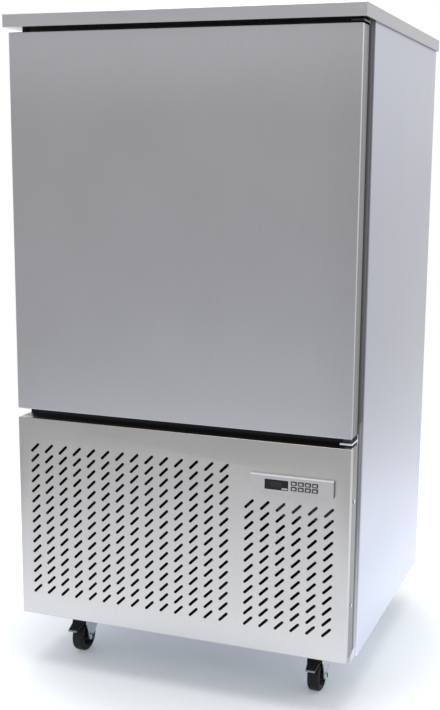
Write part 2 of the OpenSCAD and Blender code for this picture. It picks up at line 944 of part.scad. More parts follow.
// A runner with an L section: a ledge that carries the tray and a leg that guides it
module runner(z) {
    block([x_leg - ledge_w, y_runner, z - runner_t], [x_upright, y_runner + runner_l, z]);
    block([x_leg, y_runner, z - cut], [x_upright, y_runner + runner_l, z + ledge_h]);
}

module tray_runners() {
    color(fins)
        for (s = [0, 1], i = [0 : tray_levels - 1])
            mirror([s, 0, 0])
                runner(z_first_level + i * tray_pitch);
}

module rack_uprights() {
    foot_drop = 24;
    head_rise = 40;
    upright_inset = 40;
    stud_inset = 30;
    x_stud = x_upright + upright_w - cut;
    z_foot = z_first_level - foot_drop;
    z_head = z_first_level + (tray_levels - 1) * tray_pitch + head_rise;
    y_front_upright = y_runner + upright_inset;
    y_rear_upright = y_runner + runner_l - upright_inset - upright_w;
    color(fins)
        for (s = [0, 1], y = [y_front_upright, y_rear_upright])
            mirror([s, 0, 0]) {
                block([x_upright, y, z_foot], [x_upright + upright_w, y + upright_w, z_head]);
                for (z = [z_foot + stud_inset, z_head - stud_inset])
                    translate([x_stud, y + upright_w / 2, z])
                        rotate([0, 90, 0])
                            cylinder(r = stud_r, h = x_chamber - x_stud);
            }
}

module evaporator_coil() {
    side = 24;
    fin_pitch = 8;
    color(fins)
        finned_coil([-baffle_half + side, y_chamber_rear - evaporator_d, z_baffle + coil_end_gap],
            [baffle_half - side, y_chamber_rear, z_baffle_top - coil_end_gap], fin_pitch);
}

module fan_baffle() {
    color(pale_steel)
        difference() {
            union() {
                block([-baffle_half, y_baffle, z_baffle], [baffle_half, y_baffle + baffle_t, z_baffle_top]);
                for (s = [0, 1])
                    mirror([s, 0, 0])
                        block([baffle_half - baffle_t, y_baffle, z_baffle],
                            [baffle_half, y_chamber_rear, z_baffle_top]);
            }
            for (z = [z_fan_lower, z_fan_upper])
                rod_y([0, y_baffle - cut, z], evaporator_fan_r + fan_tip_clear, baffle_t + 2 * cut);
        }
}

// A round guard in front of a fan: rings on four crossing bars that meet in a hub plate,
// with four feet at the outer ring that reach back to the baffle
module fan_guard(r, reach) {
    bar = 3;
    weld = 1;
    rings = 5;
    foot_out = 1;
    hub_r = 12;
    rod_y([0, weld + 0.5, 0], hub_r, bar + weld);
    rotate([-90, 0, 0])
        for (i = [1 : rings])
            rotate_extrude()
                translate([r * i / rings - bar, 0])
                    square(bar);
    for (i = [0 : 3])
        rotate([0, i * 45, 0])
            translate([-r + bar / 2, bar - weld, -bar / 2])
                cube([2 * r - bar, bar, bar]);
    for (i = [0 : 3])
        rotate([0, i * 90, 0])
            translate([r - bar + foot_out, weld, -bar])
                cube([bar, reach - weld, 2 * bar]);
}

module evaporator_fan_guards() {
    reach = evaporator_fan_d + 2 * fan_tip_clear + baffle_t;
    color(dark_grey)
        for (z = [z_fan_lower, z_fan_upper])
            translate([0, y_baffle - reach, z])
                fan_guard(evaporator_fan_r + 2 * fan_tip_clear, reach);
}

module evaporator_motors() {
    body_r = 34;
    body_l = 48;
    ring_lap = 16;
    shaft_l = y_baffle + baffle_t - y_evaporator_fan - fan_tip_clear;
    color(dark_grey)
        for (z = [z_fan_lower, z_fan_upper])
            fan_motor([0, y_baffle + baffle_t, z], evaporator_fan_r + ring_lap, body_r, body_l, shaft_l);
}

module evaporator_fan(z) {
    color(dark_grey)
        translate([0, y_evaporator_fan, z])
            fan(evaporator_fan_r, evaporator_fan_d, 30, 5);
}

// The drain runs from the chamber's floor through the compartment and ends in a spigot under the base
module drain_pipe() {
    flange_r = drain_r + 10;
    flange_t = 1.5;
    shoulder = 4;
    z_pipe = z_base - shoulder;
    z_spigot = z_pipe - spigot_l;
    z_flange = z_chamber + flange_t;
    color(black)
        translate([0, drain_y, 0])
            difference() {
                union() {
                    translate([0, 0, z_pipe])
                        cylinder(r = drain_r, h = z_flange - z_pipe);
                    translate([0, 0, z_chamber])
                        cylinder(r = flange_r, h = flange_t);
                    translate([0, 0, z_spigot])
                        cylinder(r = spigot_r, h = spigot_l + cut);
                }
                translate([0, 0, z_spigot - cut])
                    cylinder(r = spigot_r - spigot_wall, h = z_flange - z_spigot + 2 * cut);
            }
}

// ---- Machine compartment ----

module compressor() {
    seam_h = 8;
    seam_out = 4;
    foot_out = 17;
    foot_inset = 15;
    foot_half = [compressor_r + foot_out, compressor_r * 0.85];
    foot_x = foot_half.x - foot_inset;
    foot_y = foot_half.y - foot_inset;
    foot_hole_r = 5;
    grommet_r = 11;
    plate = 4;
    terminal_out = 34;
    terminal_half_w = 32;
    z_terminal = [60, 140];
    z_foot = z_floor + compressor_lift;
    edge = compressor_r * 0.45;
    color(black)
        translate([compressor_at.x, compressor_at.y, z_foot]) {
            rotate_extrude()
                polygon(concat(
                    [[0, 0], [compressor_r - 12, 0], [compressor_r, 14]],
                    [for (a = [0 : 15 : 90])
                        [compressor_r - edge + edge * cos(a), compressor_h - edge + edge * sin(a)]],
                    [[0, compressor_h]]));
            translate([0, 0, compressor_h * 0.55])
                cylinder(r = compressor_r + seam_out, h = seam_h);
            difference() {
                block([-foot_half.x, -foot_half.y, 0], [foot_half.x, foot_half.y, plate]);
                for (sx = [-1, 1], sy = [-1, 1])
                    translate([sx * foot_x, sy * foot_y, -cut])
                        cylinder(r = foot_hole_r, h = plate + 2 * cut);
            }
            block([compressor_r / 2, -terminal_half_w, z_terminal[0]],
                [compressor_r + terminal_out, terminal_half_w, z_terminal[1]]);
            for (sx = [-1, 1], sy = [-1, 1])
                translate([sx * foot_x, sy * foot_y, -compressor_lift])
                    cylinder(r = grommet_r, h = compressor_lift);
        }
}

module condenser_coil() {
    color(fins)
        finned_coil([x_condenser, y_condenser, z_floor],
            [x_condenser + condenser_w, y_condenser + condenser_d, z_floor + condenser_h], 6);
}

module condenser_shroud() {
    opening_r = condenser_fan_r + fan_tip_clear;
    y_open = y_condenser + condenser_d;
    color(pale_steel)
        difference() {
            block([x_condenser, y_open, z_floor],
                [x_condenser + condenser_w, y_shroud, z_floor + condenser_h]);
            block([x_condenser + sheet_t, y_open - cut, z_floor + sheet_t],
                [x_condenser + condenser_w - sheet_t, y_shroud - sheet_t, z_floor + condenser_h - sheet_t]);
            rod_y([x_condenser_fan, y_shroud - sheet_t - cut, z_condenser_fan], opening_r, sheet_t + 2 * cut);
        }
}

module condenser_motor() {
    body_r = 42;
    body_l = 70;
    ring_lap = 14;
    color(dark_grey)
        fan_motor([x_condenser_fan, y_shroud, z_condenser_fan], condenser_fan_r + ring_lap, body_r, body_l,
            condenser_fan_d + 2);
}

module condenser_fan() {
    color(black)
        translate([x_condenser_fan, y_shroud - condenser_fan_d - 4, z_condenser_fan])
            fan(condenser_fan_r, condenser_fan_d, 34, 5);
}

module liquid_receiver() {
    dome = receiver_r * 0.5;
    foot_r = receiver_r - 14;
    foot_h = 10;
    chamfer = 8;
    color(black)
        translate([receiver_at.x, receiver_at.y, z_floor]) {
            rotate_extrude()
                polygon(concat(
                    [[0, foot_h], [receiver_r - chamfer, foot_h], [receiver_r, foot_h + chamfer]],
                    [for (a = [0 : 15 : 90])
                        [receiver_r - dome + dome * cos(a), receiver_h - dome + dome * sin(a)]],
                    [[0, receiver_h]]));
            cylinder(r = foot_r, h = foot_h + cut);
        }
}

module refrigerant_lines() {
    drier_r = 17;
    drier_l = 90;
    drier_lift = 30;
    stub_offset = 20;
    lines_lift = 70;
    outlet_rise = 60;
    liquid_lift = 40;
    x_header = x_condenser + condenser_w;
    y_header = y_condenser + condenser_d / 2;
    y_discharge = compressor_at.y - stub_offset;
    y_return = compressor_at.y + stub_offset;
    z_liquid = z_floor + liquid_lift;
    z_shell = z_floor + compressor_lift + compressor_h;
    z_suction = z_shell + lines_lift;
    z_discharge = z_suction + line_pitch;
    z_coil = z_baffle + coil_end_gap;
    z_receiver = z_floor + receiver_h;
    z_outlet = z_receiver + outlet_rise;
    color(copper) {
        pipe([
            [compressor_at.x, y_discharge, z_shell],
            [compressor_at.x, y_discharge, z_discharge],
            [x_lane, y_discharge, z_discharge],
            [x_lane, y_header, z_discharge],
            [x_header, y_header, z_discharge]
        ], line_r);
        pipe([
            [x_header, y_header, z_liquid],
            [x_lane, y_header, z_liquid],
            [x_lane, receiver_at.y, z_liquid],
            [receiver_at.x + receiver_r, receiver_at.y, z_liquid]
        ], line_r);
        pipe([
            [receiver_at.x, receiver_at.y, z_receiver],
            [receiver_at.x, receiver_at.y, z_outlet],
            [x_liquid, y_lines, z_outlet],
            [x_liquid, y_lines, z_coil]
        ], line_r);
        pipe([
            [x_suction, y_lines, z_coil],
            [x_suction, y_lines, z_suction],
            [compressor_at.x, y_lines, z_suction],
            [compressor_at.x, y_return, z_suction],
            [compressor_at.x, y_return, z_shell]
        ], suction_r);
        translate([x_liquid, y_lines, z_outlet + drier_lift])
            cylinder(r = drier_r, h = drier_l);
    }
}

module electrical_box() {
    box = [150, 110, 200];
    wall = 2;
    side_gap = 40;
    front_gap = 5;
    from = [x_inner - side_gap - box.x, y_foam + front_gap, z_ceiling - box.z];
    color(dark_grey)
        difference() {
            block(from, from + box);
            block(from + [wall, wall, wall], from + box + [-wall, -wall, cut]);
        }
}

module cable_gland() {
    nut_r = 14;
    nut_t = 5;
    cap_r = 12.5;
    cap_l = 17;
    inside_l = 10;
    y_inner = y_grille - sheet_t;
    y_thread = y_inner - inside_l;
    y_cap = y_grille + nut_t;
    color(black)
        difference() {
            union() {
                gland_ring(y_thread, gland_thread_r, y_cap - y_thread);
                gland_ring(y_inner - nut_t, nut_r, nut_t);
                gland_ring(y_grille, nut_r, nut_t);
                gland_ring(y_cap - cut, cap_r, cap_l + cut);
            }
            gland_ring(y_thread - cut, gland_bore_r, y_cap + cap_l - y_thread + 2 * cut);
        }
}

module gland_ring(y, r, l) {
    rod_y([gland_at.x, y, gland_at.y], r, l);
}

// ---- Casters ----

module caster_plates() {
    plate_x = 92;
    plate_y = 72;
    raceway_r = 23;
    king_end = 4;
    king_l = raceway_h + gap + fork_plate_t + king_end;
    color(zinc)
        for (spot = caster_spots)
            translate([spot.x, spot.y, 0]) {
                block([-plate_x / 2, -plate_y / 2, z_plate], [plate_x / 2, plate_y / 2, caster_h]);
                translate([0, 0, z_raceway])
                    cylinder(r = raceway_r, h = raceway_h);
                translate([0, 0, z_plate - king_l])
                    cylinder(r = king_r, h = king_l);
            }
}

// One leg of a fork, seen from the side: a round eye at the axle that widens to the swivel plate
module fork_leg() {
    eye_r = 10;
    top_front = -26;
    top_rear = 24;
    z_top = z_fork_top - fork_plate_t / 2;
    brow = pedal_pivot + [-9, -4];
    translate([fork_out, 0, 0])
        rotate([90, 0, -90])
            linear_extrude(fork_t)
                mirror([1, 0]) {
                    polygon([
                        [-caster_trail - eye_r * 0.95, wheel_r - eye_r * 0.3],
                        [-caster_trail - eye_r * 0.4, wheel_r - eye_r * 0.9],
                        [-caster_trail + eye_r * 0.6, wheel_r - eye_r * 0.8],
                        [top_rear, z_top - fork_plate_t],
                        [top_rear, z_top],
                        [top_front, z_top],
                        [brow.x, z_top],
                        brow
                    ]);
                    translate([-caster_trail, wheel_r])
                        circle(eye_r);
                }
}

// A fork with its axle and, where there is a brake, the pin that the pedal turns on
module fork(spot, brake) {
    collar_r = 24;
    axle_head_r = 6.5;
    axle_head_t = 4;
    bridge_lap = 20;
    color(zinc)
        translate([spot.x, spot.y, 0]) {
            difference() {
                union() {
                    translate([0, 0, z_fork_top - fork_plate_t])
                        cylinder(r = collar_r, h = fork_plate_t);
                    block([-fork_out, -caster_trail - bridge_lap, z_fork_top - fork_plate_t],
                        [fork_out, 0, z_fork_top - fork_plate_t / 2]);
                    for (s = [0, 1])
                        mirror([s, 0, 0])
                            fork_leg();
                }
                translate([0, 0, z_fork_top - 2 * fork_plate_t])
                    cylinder(r = king_r + fit_clear, h = 3 * fork_plate_t);
                rod_x([0, -caster_trail, wheel_r], axle_r + 0.02, 3 * fork_out);
                if (brake)
                    rod_x([0, pedal_pivot.x, pedal_pivot.y], pedal_pin_r + 0.02, 3 * fork_out);
            }
            rod_x([0, -caster_trail, wheel_r], axle_r, 2 * fork_out);
            for (s = [-1, 1])
                rod_x([s * (fork_out + axle_head_t / 2), -caster_trail, wheel_r], axle_head_r, axle_head_t);
            if (brake)
                rod_x([0, pedal_pivot.x, pedal_pivot.y], pedal_pin_r, 2 * fork_out);
        }
}

module fork_front_left() {
    fork(caster_spots[0], true);
}

module fork_front_right() {
    fork(caster_spots[1], true);
}

module fork_rear_left() {
    fork(caster_spots[2], false);
}

module fork_rear_right() {
    fork(caster_spots[3], false);
}

// A wheel: a solid rubber tyre with round shoulders on a rim with a hub
module wheel(spot) {
    rim_r = wheel_r - 9;
    rim_t = 4;
    rim_inset = 2;
    shoulder = 6;
    hub_r = 11;
    web_half = 6;
    rim_half = wheel_w / 2 - rim_inset;
    shoulder_r = wheel_r - shoulder;
    shoulder_x = wheel_w / 2 - shoulder;
    color(black)
        translate([spot.x, spot.y - caster_trail, wheel_r])
            rotate([0, 90, 0]) {
                rotate_extrude($fn = 96)
                    polygon(concat(
                        [[rim_r, -wheel_w / 2]],
                        [for (a = [-90 : 15 : 0])
                            [shoulder_r + shoulder * cos(a), -shoulder_x + shoulder * sin(a)]],
                        [for (a = [0 : 15 : 90])
                            [shoulder_r + shoulder * cos(a), shoulder_x + shoulder * sin(a)]],
                        [[rim_r, wheel_w / 2]]));
                rotate_extrude()
                    polygon([
                        [axle_r + fit_clear, -hub_w / 2],
                        [hub_r, -hub_w / 2],
                        [hub_r, -web_half],
                        [rim_r - rim_t, -web_half],
                        [rim_r - rim_t, -rim_half],
                        [rim_r, -rim_half],
                        [rim_r, rim_half],
                        [rim_r - rim_t, rim_half],
                        [rim_r - rim_t, web_half],
                        [hub_r, web_half],
                        [hub_r, hub_w / 2],
                        [axle_r + fit_clear, hub_w / 2]
                    ]);
            }
}

// An outline seen from the side, as thick as "w" and centred on the swivel axis
module side_profile(w, points) {
    translate([w / 2, 0, 0])
        rotate([90, 0, -90])
            linear_extrude(w)
                mirror([1, 0])
                    polygon(points);
}

// A brake pedal: a pad in front of the wheel on a block between the fork's legs
module pedal(spot) {
    block_w = 2 * (fork_in - 1);
    hub_r = 4.2;
    pad_tip = [-94, 66];
    color(black)
        translate([spot.x, spot.y, 0])
            difference() {
                union() {
                    rod_x([0, pedal_pivot.x, pedal_pivot.y], hub_r, block_w);
                    side_profile(block_w, [
                        pedal_pivot + [0, hub_r],
                        pedal_pivot + [-16, 1],
                        pedal_pivot + [-16, -4],
                        pedal_pivot + [0, -hub_r]
                    ]);
                    side_profile(pedal_w, [
                        pedal_pivot + [-13, 2],
                        pad_tip + [0, 4],
                        pad_tip,
                        pedal_pivot + [-13, -4]
                    ]);
                }
                rod_x([0, pedal_pivot.x, pedal_pivot.y], pedal_pin_r + fit_clear, 3 * fork_out);
            }
}

worktop();
worktop_board();
left_side_panel();
right_side_panel();
rear_panel();
rear_grille();
compartment_ceiling();
base_tray();
base_channels();
front_posts();
mouth_frame();
cabinet_insulation();
chamber_liner();
door_skin();
door_insulation();
door_liner();
door_gasket();
hinges();
hinge_bushes();
lower_panel();
panel_screws();
controller_housing();
display_window();
key(1);  // key_1
key(2);  // key_2
key(3);  // key_3
key(4);  // key_4
key(5);  // key_5
key(6);  // key_6
key(7);  // key_7
key(8);  // key_8
tray_runners();
rack_uprights();
evaporator_coil();
fan_baffle();
evaporator_fan_guards();
evaporator_motors();
evaporator_fan(z_fan_upper);  // evaporator_fan_upper
evaporator_fan(z_fan_lower);  // evaporator_fan_lower
drain_pipe();
compressor();
condenser_coil();
condenser_shroud();
condenser_motor();
condenser_fan();
liquid_receiver();
refrigerant_lines();
electrical_box();
cable_gland();
caster_plates();
fork_front_left();
fork_front_right();
fork_rear_left();
fork_rear_right();
wheel(caster_spots[0]);  // wheel_front_left
wheel(caster_spots[1]);  // wheel_front_right
wheel(caster_spots[2]);  // wheel_rear_left
wheel(caster_spots[3]);  // wheel_rear_right
pedal(caster_spots[0]);  // pedal_left
pedal(caster_spots[1]);  // pedal_right
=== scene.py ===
import json
import math

import bmesh
import bpy
from mathutils import Matrix, Vector

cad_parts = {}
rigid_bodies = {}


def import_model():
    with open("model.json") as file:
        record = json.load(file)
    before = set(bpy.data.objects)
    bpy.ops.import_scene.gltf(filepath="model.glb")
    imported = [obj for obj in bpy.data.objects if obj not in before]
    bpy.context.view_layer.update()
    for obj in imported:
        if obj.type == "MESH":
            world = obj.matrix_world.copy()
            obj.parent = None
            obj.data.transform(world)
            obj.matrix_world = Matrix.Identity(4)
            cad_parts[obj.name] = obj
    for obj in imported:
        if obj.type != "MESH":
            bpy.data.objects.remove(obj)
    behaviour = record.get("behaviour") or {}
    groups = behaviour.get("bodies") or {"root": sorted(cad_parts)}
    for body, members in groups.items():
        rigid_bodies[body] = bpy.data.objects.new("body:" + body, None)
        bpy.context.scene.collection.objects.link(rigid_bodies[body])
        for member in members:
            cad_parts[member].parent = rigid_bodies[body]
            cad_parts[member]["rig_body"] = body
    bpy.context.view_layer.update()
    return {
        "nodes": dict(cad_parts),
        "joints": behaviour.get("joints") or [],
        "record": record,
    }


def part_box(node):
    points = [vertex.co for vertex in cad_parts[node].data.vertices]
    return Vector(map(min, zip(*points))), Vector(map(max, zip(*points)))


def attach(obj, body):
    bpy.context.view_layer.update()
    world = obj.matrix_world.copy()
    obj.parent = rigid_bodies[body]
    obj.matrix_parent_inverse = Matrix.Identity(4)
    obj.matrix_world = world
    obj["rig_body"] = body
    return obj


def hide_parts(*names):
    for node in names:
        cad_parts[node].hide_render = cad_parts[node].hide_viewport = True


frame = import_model()

MM = 0.001
TINY = 0.01 * MM
SLOT_OF_NODE = {row["node"]: row["material_slot"] for row in frame["record"]["subparts"]}
KEYS = [f"key_{number}" for number in range(1, 9)]
CORNERS = ("front_left", "front_right", "rear_left", "rear_right")


# ---- Shader nodes ----

def add_math(nodes, links, operation, a, b):
    """The result of an operation on two values, each a socket or a number."""
    node = nodes.new("ShaderNodeMath")
    node.operation = operation
    for socket, value in zip(node.inputs, (a, b)):
        if isinstance(value, (int, float)):
            socket.default_value = value
        else:
            links.new(value, socket)
    return node.outputs["Value"]


def add_range(nodes, links, value, source, target, smooth=False):
    """Carry a value from the range "source" over to the range "target"."""
    spread = nodes.new("ShaderNodeMapRange")
    if smooth:
        spread.interpolation_type = "SMOOTHSTEP"
    spread.inputs["From Min"].default_value, spread.inputs["From Max"].default_value = source
    spread.inputs["To Min"].default_value, spread.inputs["To Max"].default_value = target
    links.new(value, spread.inputs["Value"])
    return spread.outputs["Result"]


def add_noise(nodes, links, coordinates, size, stretch, detail):
    """Noise whose grains are "size" metres across, drawn out along each axis by "stretch"."""
    scale = nodes.new("ShaderNodeMapping")
    scale.inputs["Scale"].default_value = [1 / (size * s) for s in stretch]
    links.new(coordinates, scale.inputs["Vector"])
    noise = nodes.new("ShaderNodeTexNoise")
    noise.inputs["Scale"].default_value = 1
    noise.inputs["Detail"].default_value = detail
    links.new(scale.outputs["Vector"], noise.inputs["Vector"])
    return noise.outputs["Fac"]


# ---- Camera, floor and light ----

def make_camera():
    """The photograph's camera: its place, its turn and its lens, for a frame of 440 x 710 pixels."""
    frame_w, frame_h = 440, 710
    focal_px = 1124.69
    centre_px = Vector((249.15, 366.52))
    place = Vector((0.9458, -2.5385, 1.1836))
    yaw, pitch, roll = 0.3439, 0.1830, 0.0119
    level_forward = Vector((-math.sin(yaw), math.cos(yaw), 0))
    forward = math.cos(pitch) * level_forward - math.sin(pitch) * Vector((0, 0, 1))
    level_right = Vector((math.cos(yaw), math.sin(yaw), 0))
    level_up = level_right.cross(forward)
    right = math.cos(roll) * level_right + math.sin(roll) * level_up
    up = math.cos(roll) * level_up - math.sin(roll) * level_right
    data = bpy.data.cameras.new("camera")
    data.sensor_width = 36
    data.lens = data.sensor_width * focal_px / frame_h
    data.shift_x = (frame_w / 2 - centre_px.x) / frame_h
    data.shift_y = (centre_px.y - frame_h / 2) / frame_h
    camera = bpy.data.objects.new("camera", data)
    camera.matrix_world = Matrix.Translation(place) @ Matrix((right, up, -forward)).transposed().to_4x4()
    bpy.context.scene.collection.objects.link(camera)
    bpy.context.scene.camera = camera


def make_world():
    """A studio that is white behind the object and grey in front of it, the same for every ray."""
    front_grey, back_white = 0.62, 1.0
    grey_until, white_from = -0.5, 0.45
    world = bpy.data.worlds.new("studio")
    world.use_nodes = True
    bpy.context.scene.world = world
    nodes, links = world.node_tree.nodes, world.node_tree.links
    direction = nodes.new("ShaderNodeTexCoord")
    axes = nodes.new("ShaderNodeSeparateXYZ")
    links.new(direction.outputs["Generated"], axes.inputs[0])
    strength = add_range(nodes, links, axes.outputs["Y"], (grey_until, white_from),
                         (front_grey, back_white), smooth=True)
    links.new(strength, nodes["Background"].inputs["Strength"])
    nodes["Background"].inputs["Color"].default_value = (1, 1, 1, 1)


def make_floor():
    """A white sweep whose edge fades into the studio. Seen directly or in metal it also glows a little, less
    near the object, which paints a shadow under it.
    """
    radius = 2.6
    clear_r, solid_r = 2.5, 1.3
    shaded_r, open_r = 0.45, 0.65
    painted_shadow_glow, open_glow = 0.18, 0.36
    mesh = bpy.data.meshes.new("floor")
    shape = bmesh.new()
    bmesh.ops.create_circle(shape, cap_ends=True, segments=96, radius=radius)
    shape.to_mesh(mesh)
    shape.free()
    floor = bpy.data.objects.new("floor", mesh)
    bpy.context.scene.collection.objects.link(floor)
    material = bpy.data.materials.new("sweep")
    material.use_nodes = True
    nodes, links = material.node_tree.nodes, material.node_tree.links
    shader = nodes["Principled BSDF"]
    shader.inputs["Base Color"].default_value = (0.87, 0.9, 0.93, 1)
    shader.inputs["Roughness"].default_value = 0.8
    shader.inputs["Emission Color"].default_value = (0.88, 0.95, 1.0, 1)
    rays = nodes.new("ShaderNodeLightPath")
    seen = add_math(nodes, links, "MAXIMUM", rays.outputs["Is Camera Ray"], rays.outputs["Is Glossy Ray"])
    seen = add_math(nodes, links, "MAXIMUM", seen, rays.outputs["Is Transmission Ray"])
    place = nodes.new("ShaderNodeTexCoord")
    length = nodes.new("ShaderNodeVectorMath")
    length.operation = "LENGTH"
    links.new(place.outputs["Object"], length.inputs[0])
    # The bluish glow is weaker under the object: a painted shadow.
    glow = add_range(nodes, links, length.outputs["Value"], (shaded_r, open_r), (painted_shadow_glow, open_glow),
                     smooth=True)
    links.new(add_math(nodes, links, "MULTIPLY", seen, glow), shader.inputs["Emission Strength"])
    fade = add_range(nodes, links, length.outputs["Value"], (clear_r, solid_r), (0, 1), smooth=True)
    links.new(fade, shader.inputs["Alpha"])
    mesh.materials.append(material)


def softbox(name, place, aim, size, power, colour):
    """A rectangular lamp at a place, turned to face the point "aim"."""
    data = bpy.data.lights.new(name, "AREA")
    data.shape = "RECTANGLE"
    data.size, data.size_y = size
    data.energy = power
    data.color = colour
    lamp = bpy.data.objects.new(name, data)
    lamp.location = place
    lamp.rotation_euler = (Vector(aim) - Vector(place)).to_track_quat("-Z", "Y").to_euler()
    bpy.context.scene.collection.objects.link(lamp)


def make_lamps():
    softbox("lamp_top", place=(0, -0.4, 3.2), aim=(0, 0, 0), size=(2.6, 2.0), power=42,
            colour=(1.0, 0.99, 0.98))
    softbox("lamp_right", place=(3.0, 0.8, 1.6), aim=(0.3, 0, 0.6), size=(1.6, 1.6), power=6,
            colour=(0.93, 0.96, 1.0))


# ---- Painted light and shade: lists of (axis, start, end, factor). The colour changes by the factor from start to end ----

def door_shades():
    """Painted light and shade on the door: lighter to the head and round the bend, darker to the foot, the
    right edge and down the return.
    """
    low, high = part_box("door_skin")
    head, right_edge, middle_z = 200 * MM, 100 * MM, 0.85
    bend_start, bend_end = 0.3 * MM, 1.2 * MM
    return_start, return_end, deep_return = 4 * MM, 10 * MM, 20 * MM
    return [
        ("Z", high.z - head, high.z, 1.2),
        ("Z", middle_z, low.z, 0.93),
        ("X", high.x - right_edge, high.x, 0.95),
        ("Y", low.y + bend_start, low.y + bend_end, 1.12),
        ("Y", low.y + return_start, low.y + return_end, 0.36),
        ("Y", low.y + deep_return, high.y, 0.5),
    ]


def side_shades():
    """Painted light and shade on a side panel: darkest in its middle, with painted light from the floor
    rising to its foot and painted light towards its head.
    """
    low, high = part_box("right_side_panel")
    upper_z, middle_z, lower_z, painted_floor_light_z = 1.0, 0.85, 0.35, 0.3
    return [
        ("Z", middle_z, painted_floor_light_z, 1.4),
        ("Z", lower_z, low.z, 1.24),
        ("Z", upper_z, high.z, 1.2),
    ]


def top_shades():
    """Painted shade on the worktop's folded edge, darker on the right."""
    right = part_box("worktop")[1].x
    edge_start, edge_end = 2 * MM, 0.1 * MM
    return [
        ("X", right - edge_start, right - edge_end, 0.72),
    ]


def board_shades():
    """Painted shade on the board under the worktop, dark on its right side over the side panel."""
    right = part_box("right_side_panel")[1].x
    edge = 3 * MM
    return [
        ("X", right - edge, right, 0.12),
    ]


def panel_shades():
    """Painted light from the floor on the lower panel, and painted shade on the rear part of its return."""
    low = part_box("lower_panel")[0]
    head_z, foot_z = 0.5, 0.26
    bright_return, step = 17 * MM, 2 * MM
    return [
        ("Z", head_z, low.z, 1.15),
        ("Z", foot_z, low.z, 1.1),
        ("Y", low.y + bright_return, low.y + bright_return + step, 0.42),
    ]


def post_shades():
    """Painted shade on the posts: darkest at the front by the door, lighter to the rear and under the door,
    and painted light at the panel's lower edge.
    """
    low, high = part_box("front_posts")
    door_foot, panel_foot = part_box("door_skin")[0].z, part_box("lower_panel")[0].z
    dark_until, light_from = 19 * MM, 17 * MM
    front, panel_head_z = 4 * MM, 0.5
    above_edge, below_edge = 4 * MM, 2 * MM
    return [
        ("Z", door_foot + dark_until, door_foot + light_from, 2.0),
        ("Y", low.y + front, high.y, 9.0),
        ("Z", panel_head_z, panel_foot, 2.6),
        ("Z", panel_foot + above_edge, panel_foot - below_edge, 12.0),
    ]


def controller_shades():
    """Painted shade on the housing inside the panel, a painted highlight on the faceplate's upper edge and
    painted shade on its right edge.
    """
    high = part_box("controller_housing")[1]
    panel_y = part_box("lower_panel")[0].y
    panel_edge = 0.5 * MM
    top_start, top_end = 3.4 * MM, 2.4 * MM
    right_start, right_end = 1.6 * MM, 0.8 * MM
    return [
        ("Y", panel_y - panel_edge, panel_y + panel_edge, 0.03),
        ("Z", high.z - top_start, high.z - top_end, 1.55),
        ("X", high.x - right_start, high.x - right_end, 0.3),
    ]


def hinge_shades():
    """Painted shade on the upper hinge, which lies in the dark gap under the worktop; the lower one is in
    the open.
    """
    low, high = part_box("door_skin")
    reach = 100 * MM
    return [
        ("Z", low.z + reach, high.z - reach, 0.06),
    ]


def grille_shades():
    """Painted shade on the inside of the rear grille and the walls of its slots."""
    low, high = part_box("rear_grille")
    outer_skin, inner_skin = 0.4 * MM, 0.2 * MM
    return [
        ("Y", high.y - outer_skin, low.y + inner_skin, 0.05),
    ]


# ---- Finishes ----

FINISHES = {}


def surface(name, colour, roughness, grain, tone, bump, metallic=0.0, stretch=(1, 1, 1), polish=0.05,
            specular=0.5, shades=()):
    """A surface with its grain in colour, roughness and bump, a slow change of tone and worn edges.

    "grain" is the size of the grain, and "stretch" draws it out along each axis. "tone" and "polish" say
    how far it changes the colour and the roughness, and "bump" how strong its relief is.
    """
    noise_middle, fine_detail = (0.3, 0.7), 4
    cloud_size, cloud_detail, cloud_polish = 0.18, 2, 0.06
    edge_bend, edge_wear = (0.5, 0.6), 0.06
    lightest = 0.9
    material = bpy.data.materials.new(name)
    material.use_nodes = True
    nodes, links = material.node_tree.nodes, material.node_tree.links
    shader = nodes["Principled BSDF"]
    shader.inputs["Metallic"].default_value = metallic
    shader.inputs["Specular IOR Level"].default_value = specular
    place = nodes.new("ShaderNodeTexCoord").outputs["Object"]
    bend = nodes.new("ShaderNodeNewGeometry").outputs["Pointiness"]

    fine = add_noise(nodes, links, place, grain, stretch, fine_detail)
    slow = add_noise(nodes, links, place, cloud_size, (1, 1, 1), cloud_detail)
    brightness = add_range(nodes, links, fine, noise_middle, (1 - tone, 1 + tone))
    slow_tone = add_range(nodes, links, slow, noise_middle, (1 - tone / 2, 1 + tone / 2))
    brightness = add_math(nodes, links, "MULTIPLY", brightness, slow_tone)
    worn = add_range(nodes, links, bend, edge_bend, (1, 1 + edge_wear))
    brightness = add_math(nodes, links, "MULTIPLY", brightness, worn)
    axes = nodes.new("ShaderNodeSeparateXYZ")
    links.new(place, axes.inputs[0])
    # Painted light and shade: each entry of shades scales the colour along an axis
    for axis, start, end, factor in shades:
        shade = add_range(nodes, links, axes.outputs[axis], (start, end), (1, factor), smooth=True)
        brightness = add_math(nodes, links, "MULTIPLY", brightness, shade)
    brightness = add_math(nodes, links, "MINIMUM", brightness, lightest / max(colour))

    tint = nodes.new("ShaderNodeVectorMath")
    tint.operation = "SCALE"
    tint.inputs[0].default_value = colour
    links.new(brightness, tint.inputs["Scale"])
    links.new(tint.outputs["Vector"], shader.inputs["Base Color"])

    dullness = add_range(nodes, links, fine, noise_middle, (roughness - polish, roughness + polish))
    slow_polish = add_range(nodes, links, slow, noise_middle, (1 - cloud_polish, 1 + cloud_polish))
    links.new(add_math(nodes, links, "MULTIPLY", dullness, slow_polish), shader.inputs["Roughness"])

    relief = nodes.new("ShaderNodeBump")
    relief.inputs["Strength"].default_value = bump
    relief.inputs["Distance"].default_value = grain
    links.new(fine, relief.inputs["Height"])
    links.new(relief.outputs["Normal"], shader.inputs["Normal"])
    FINISHES[name] = material


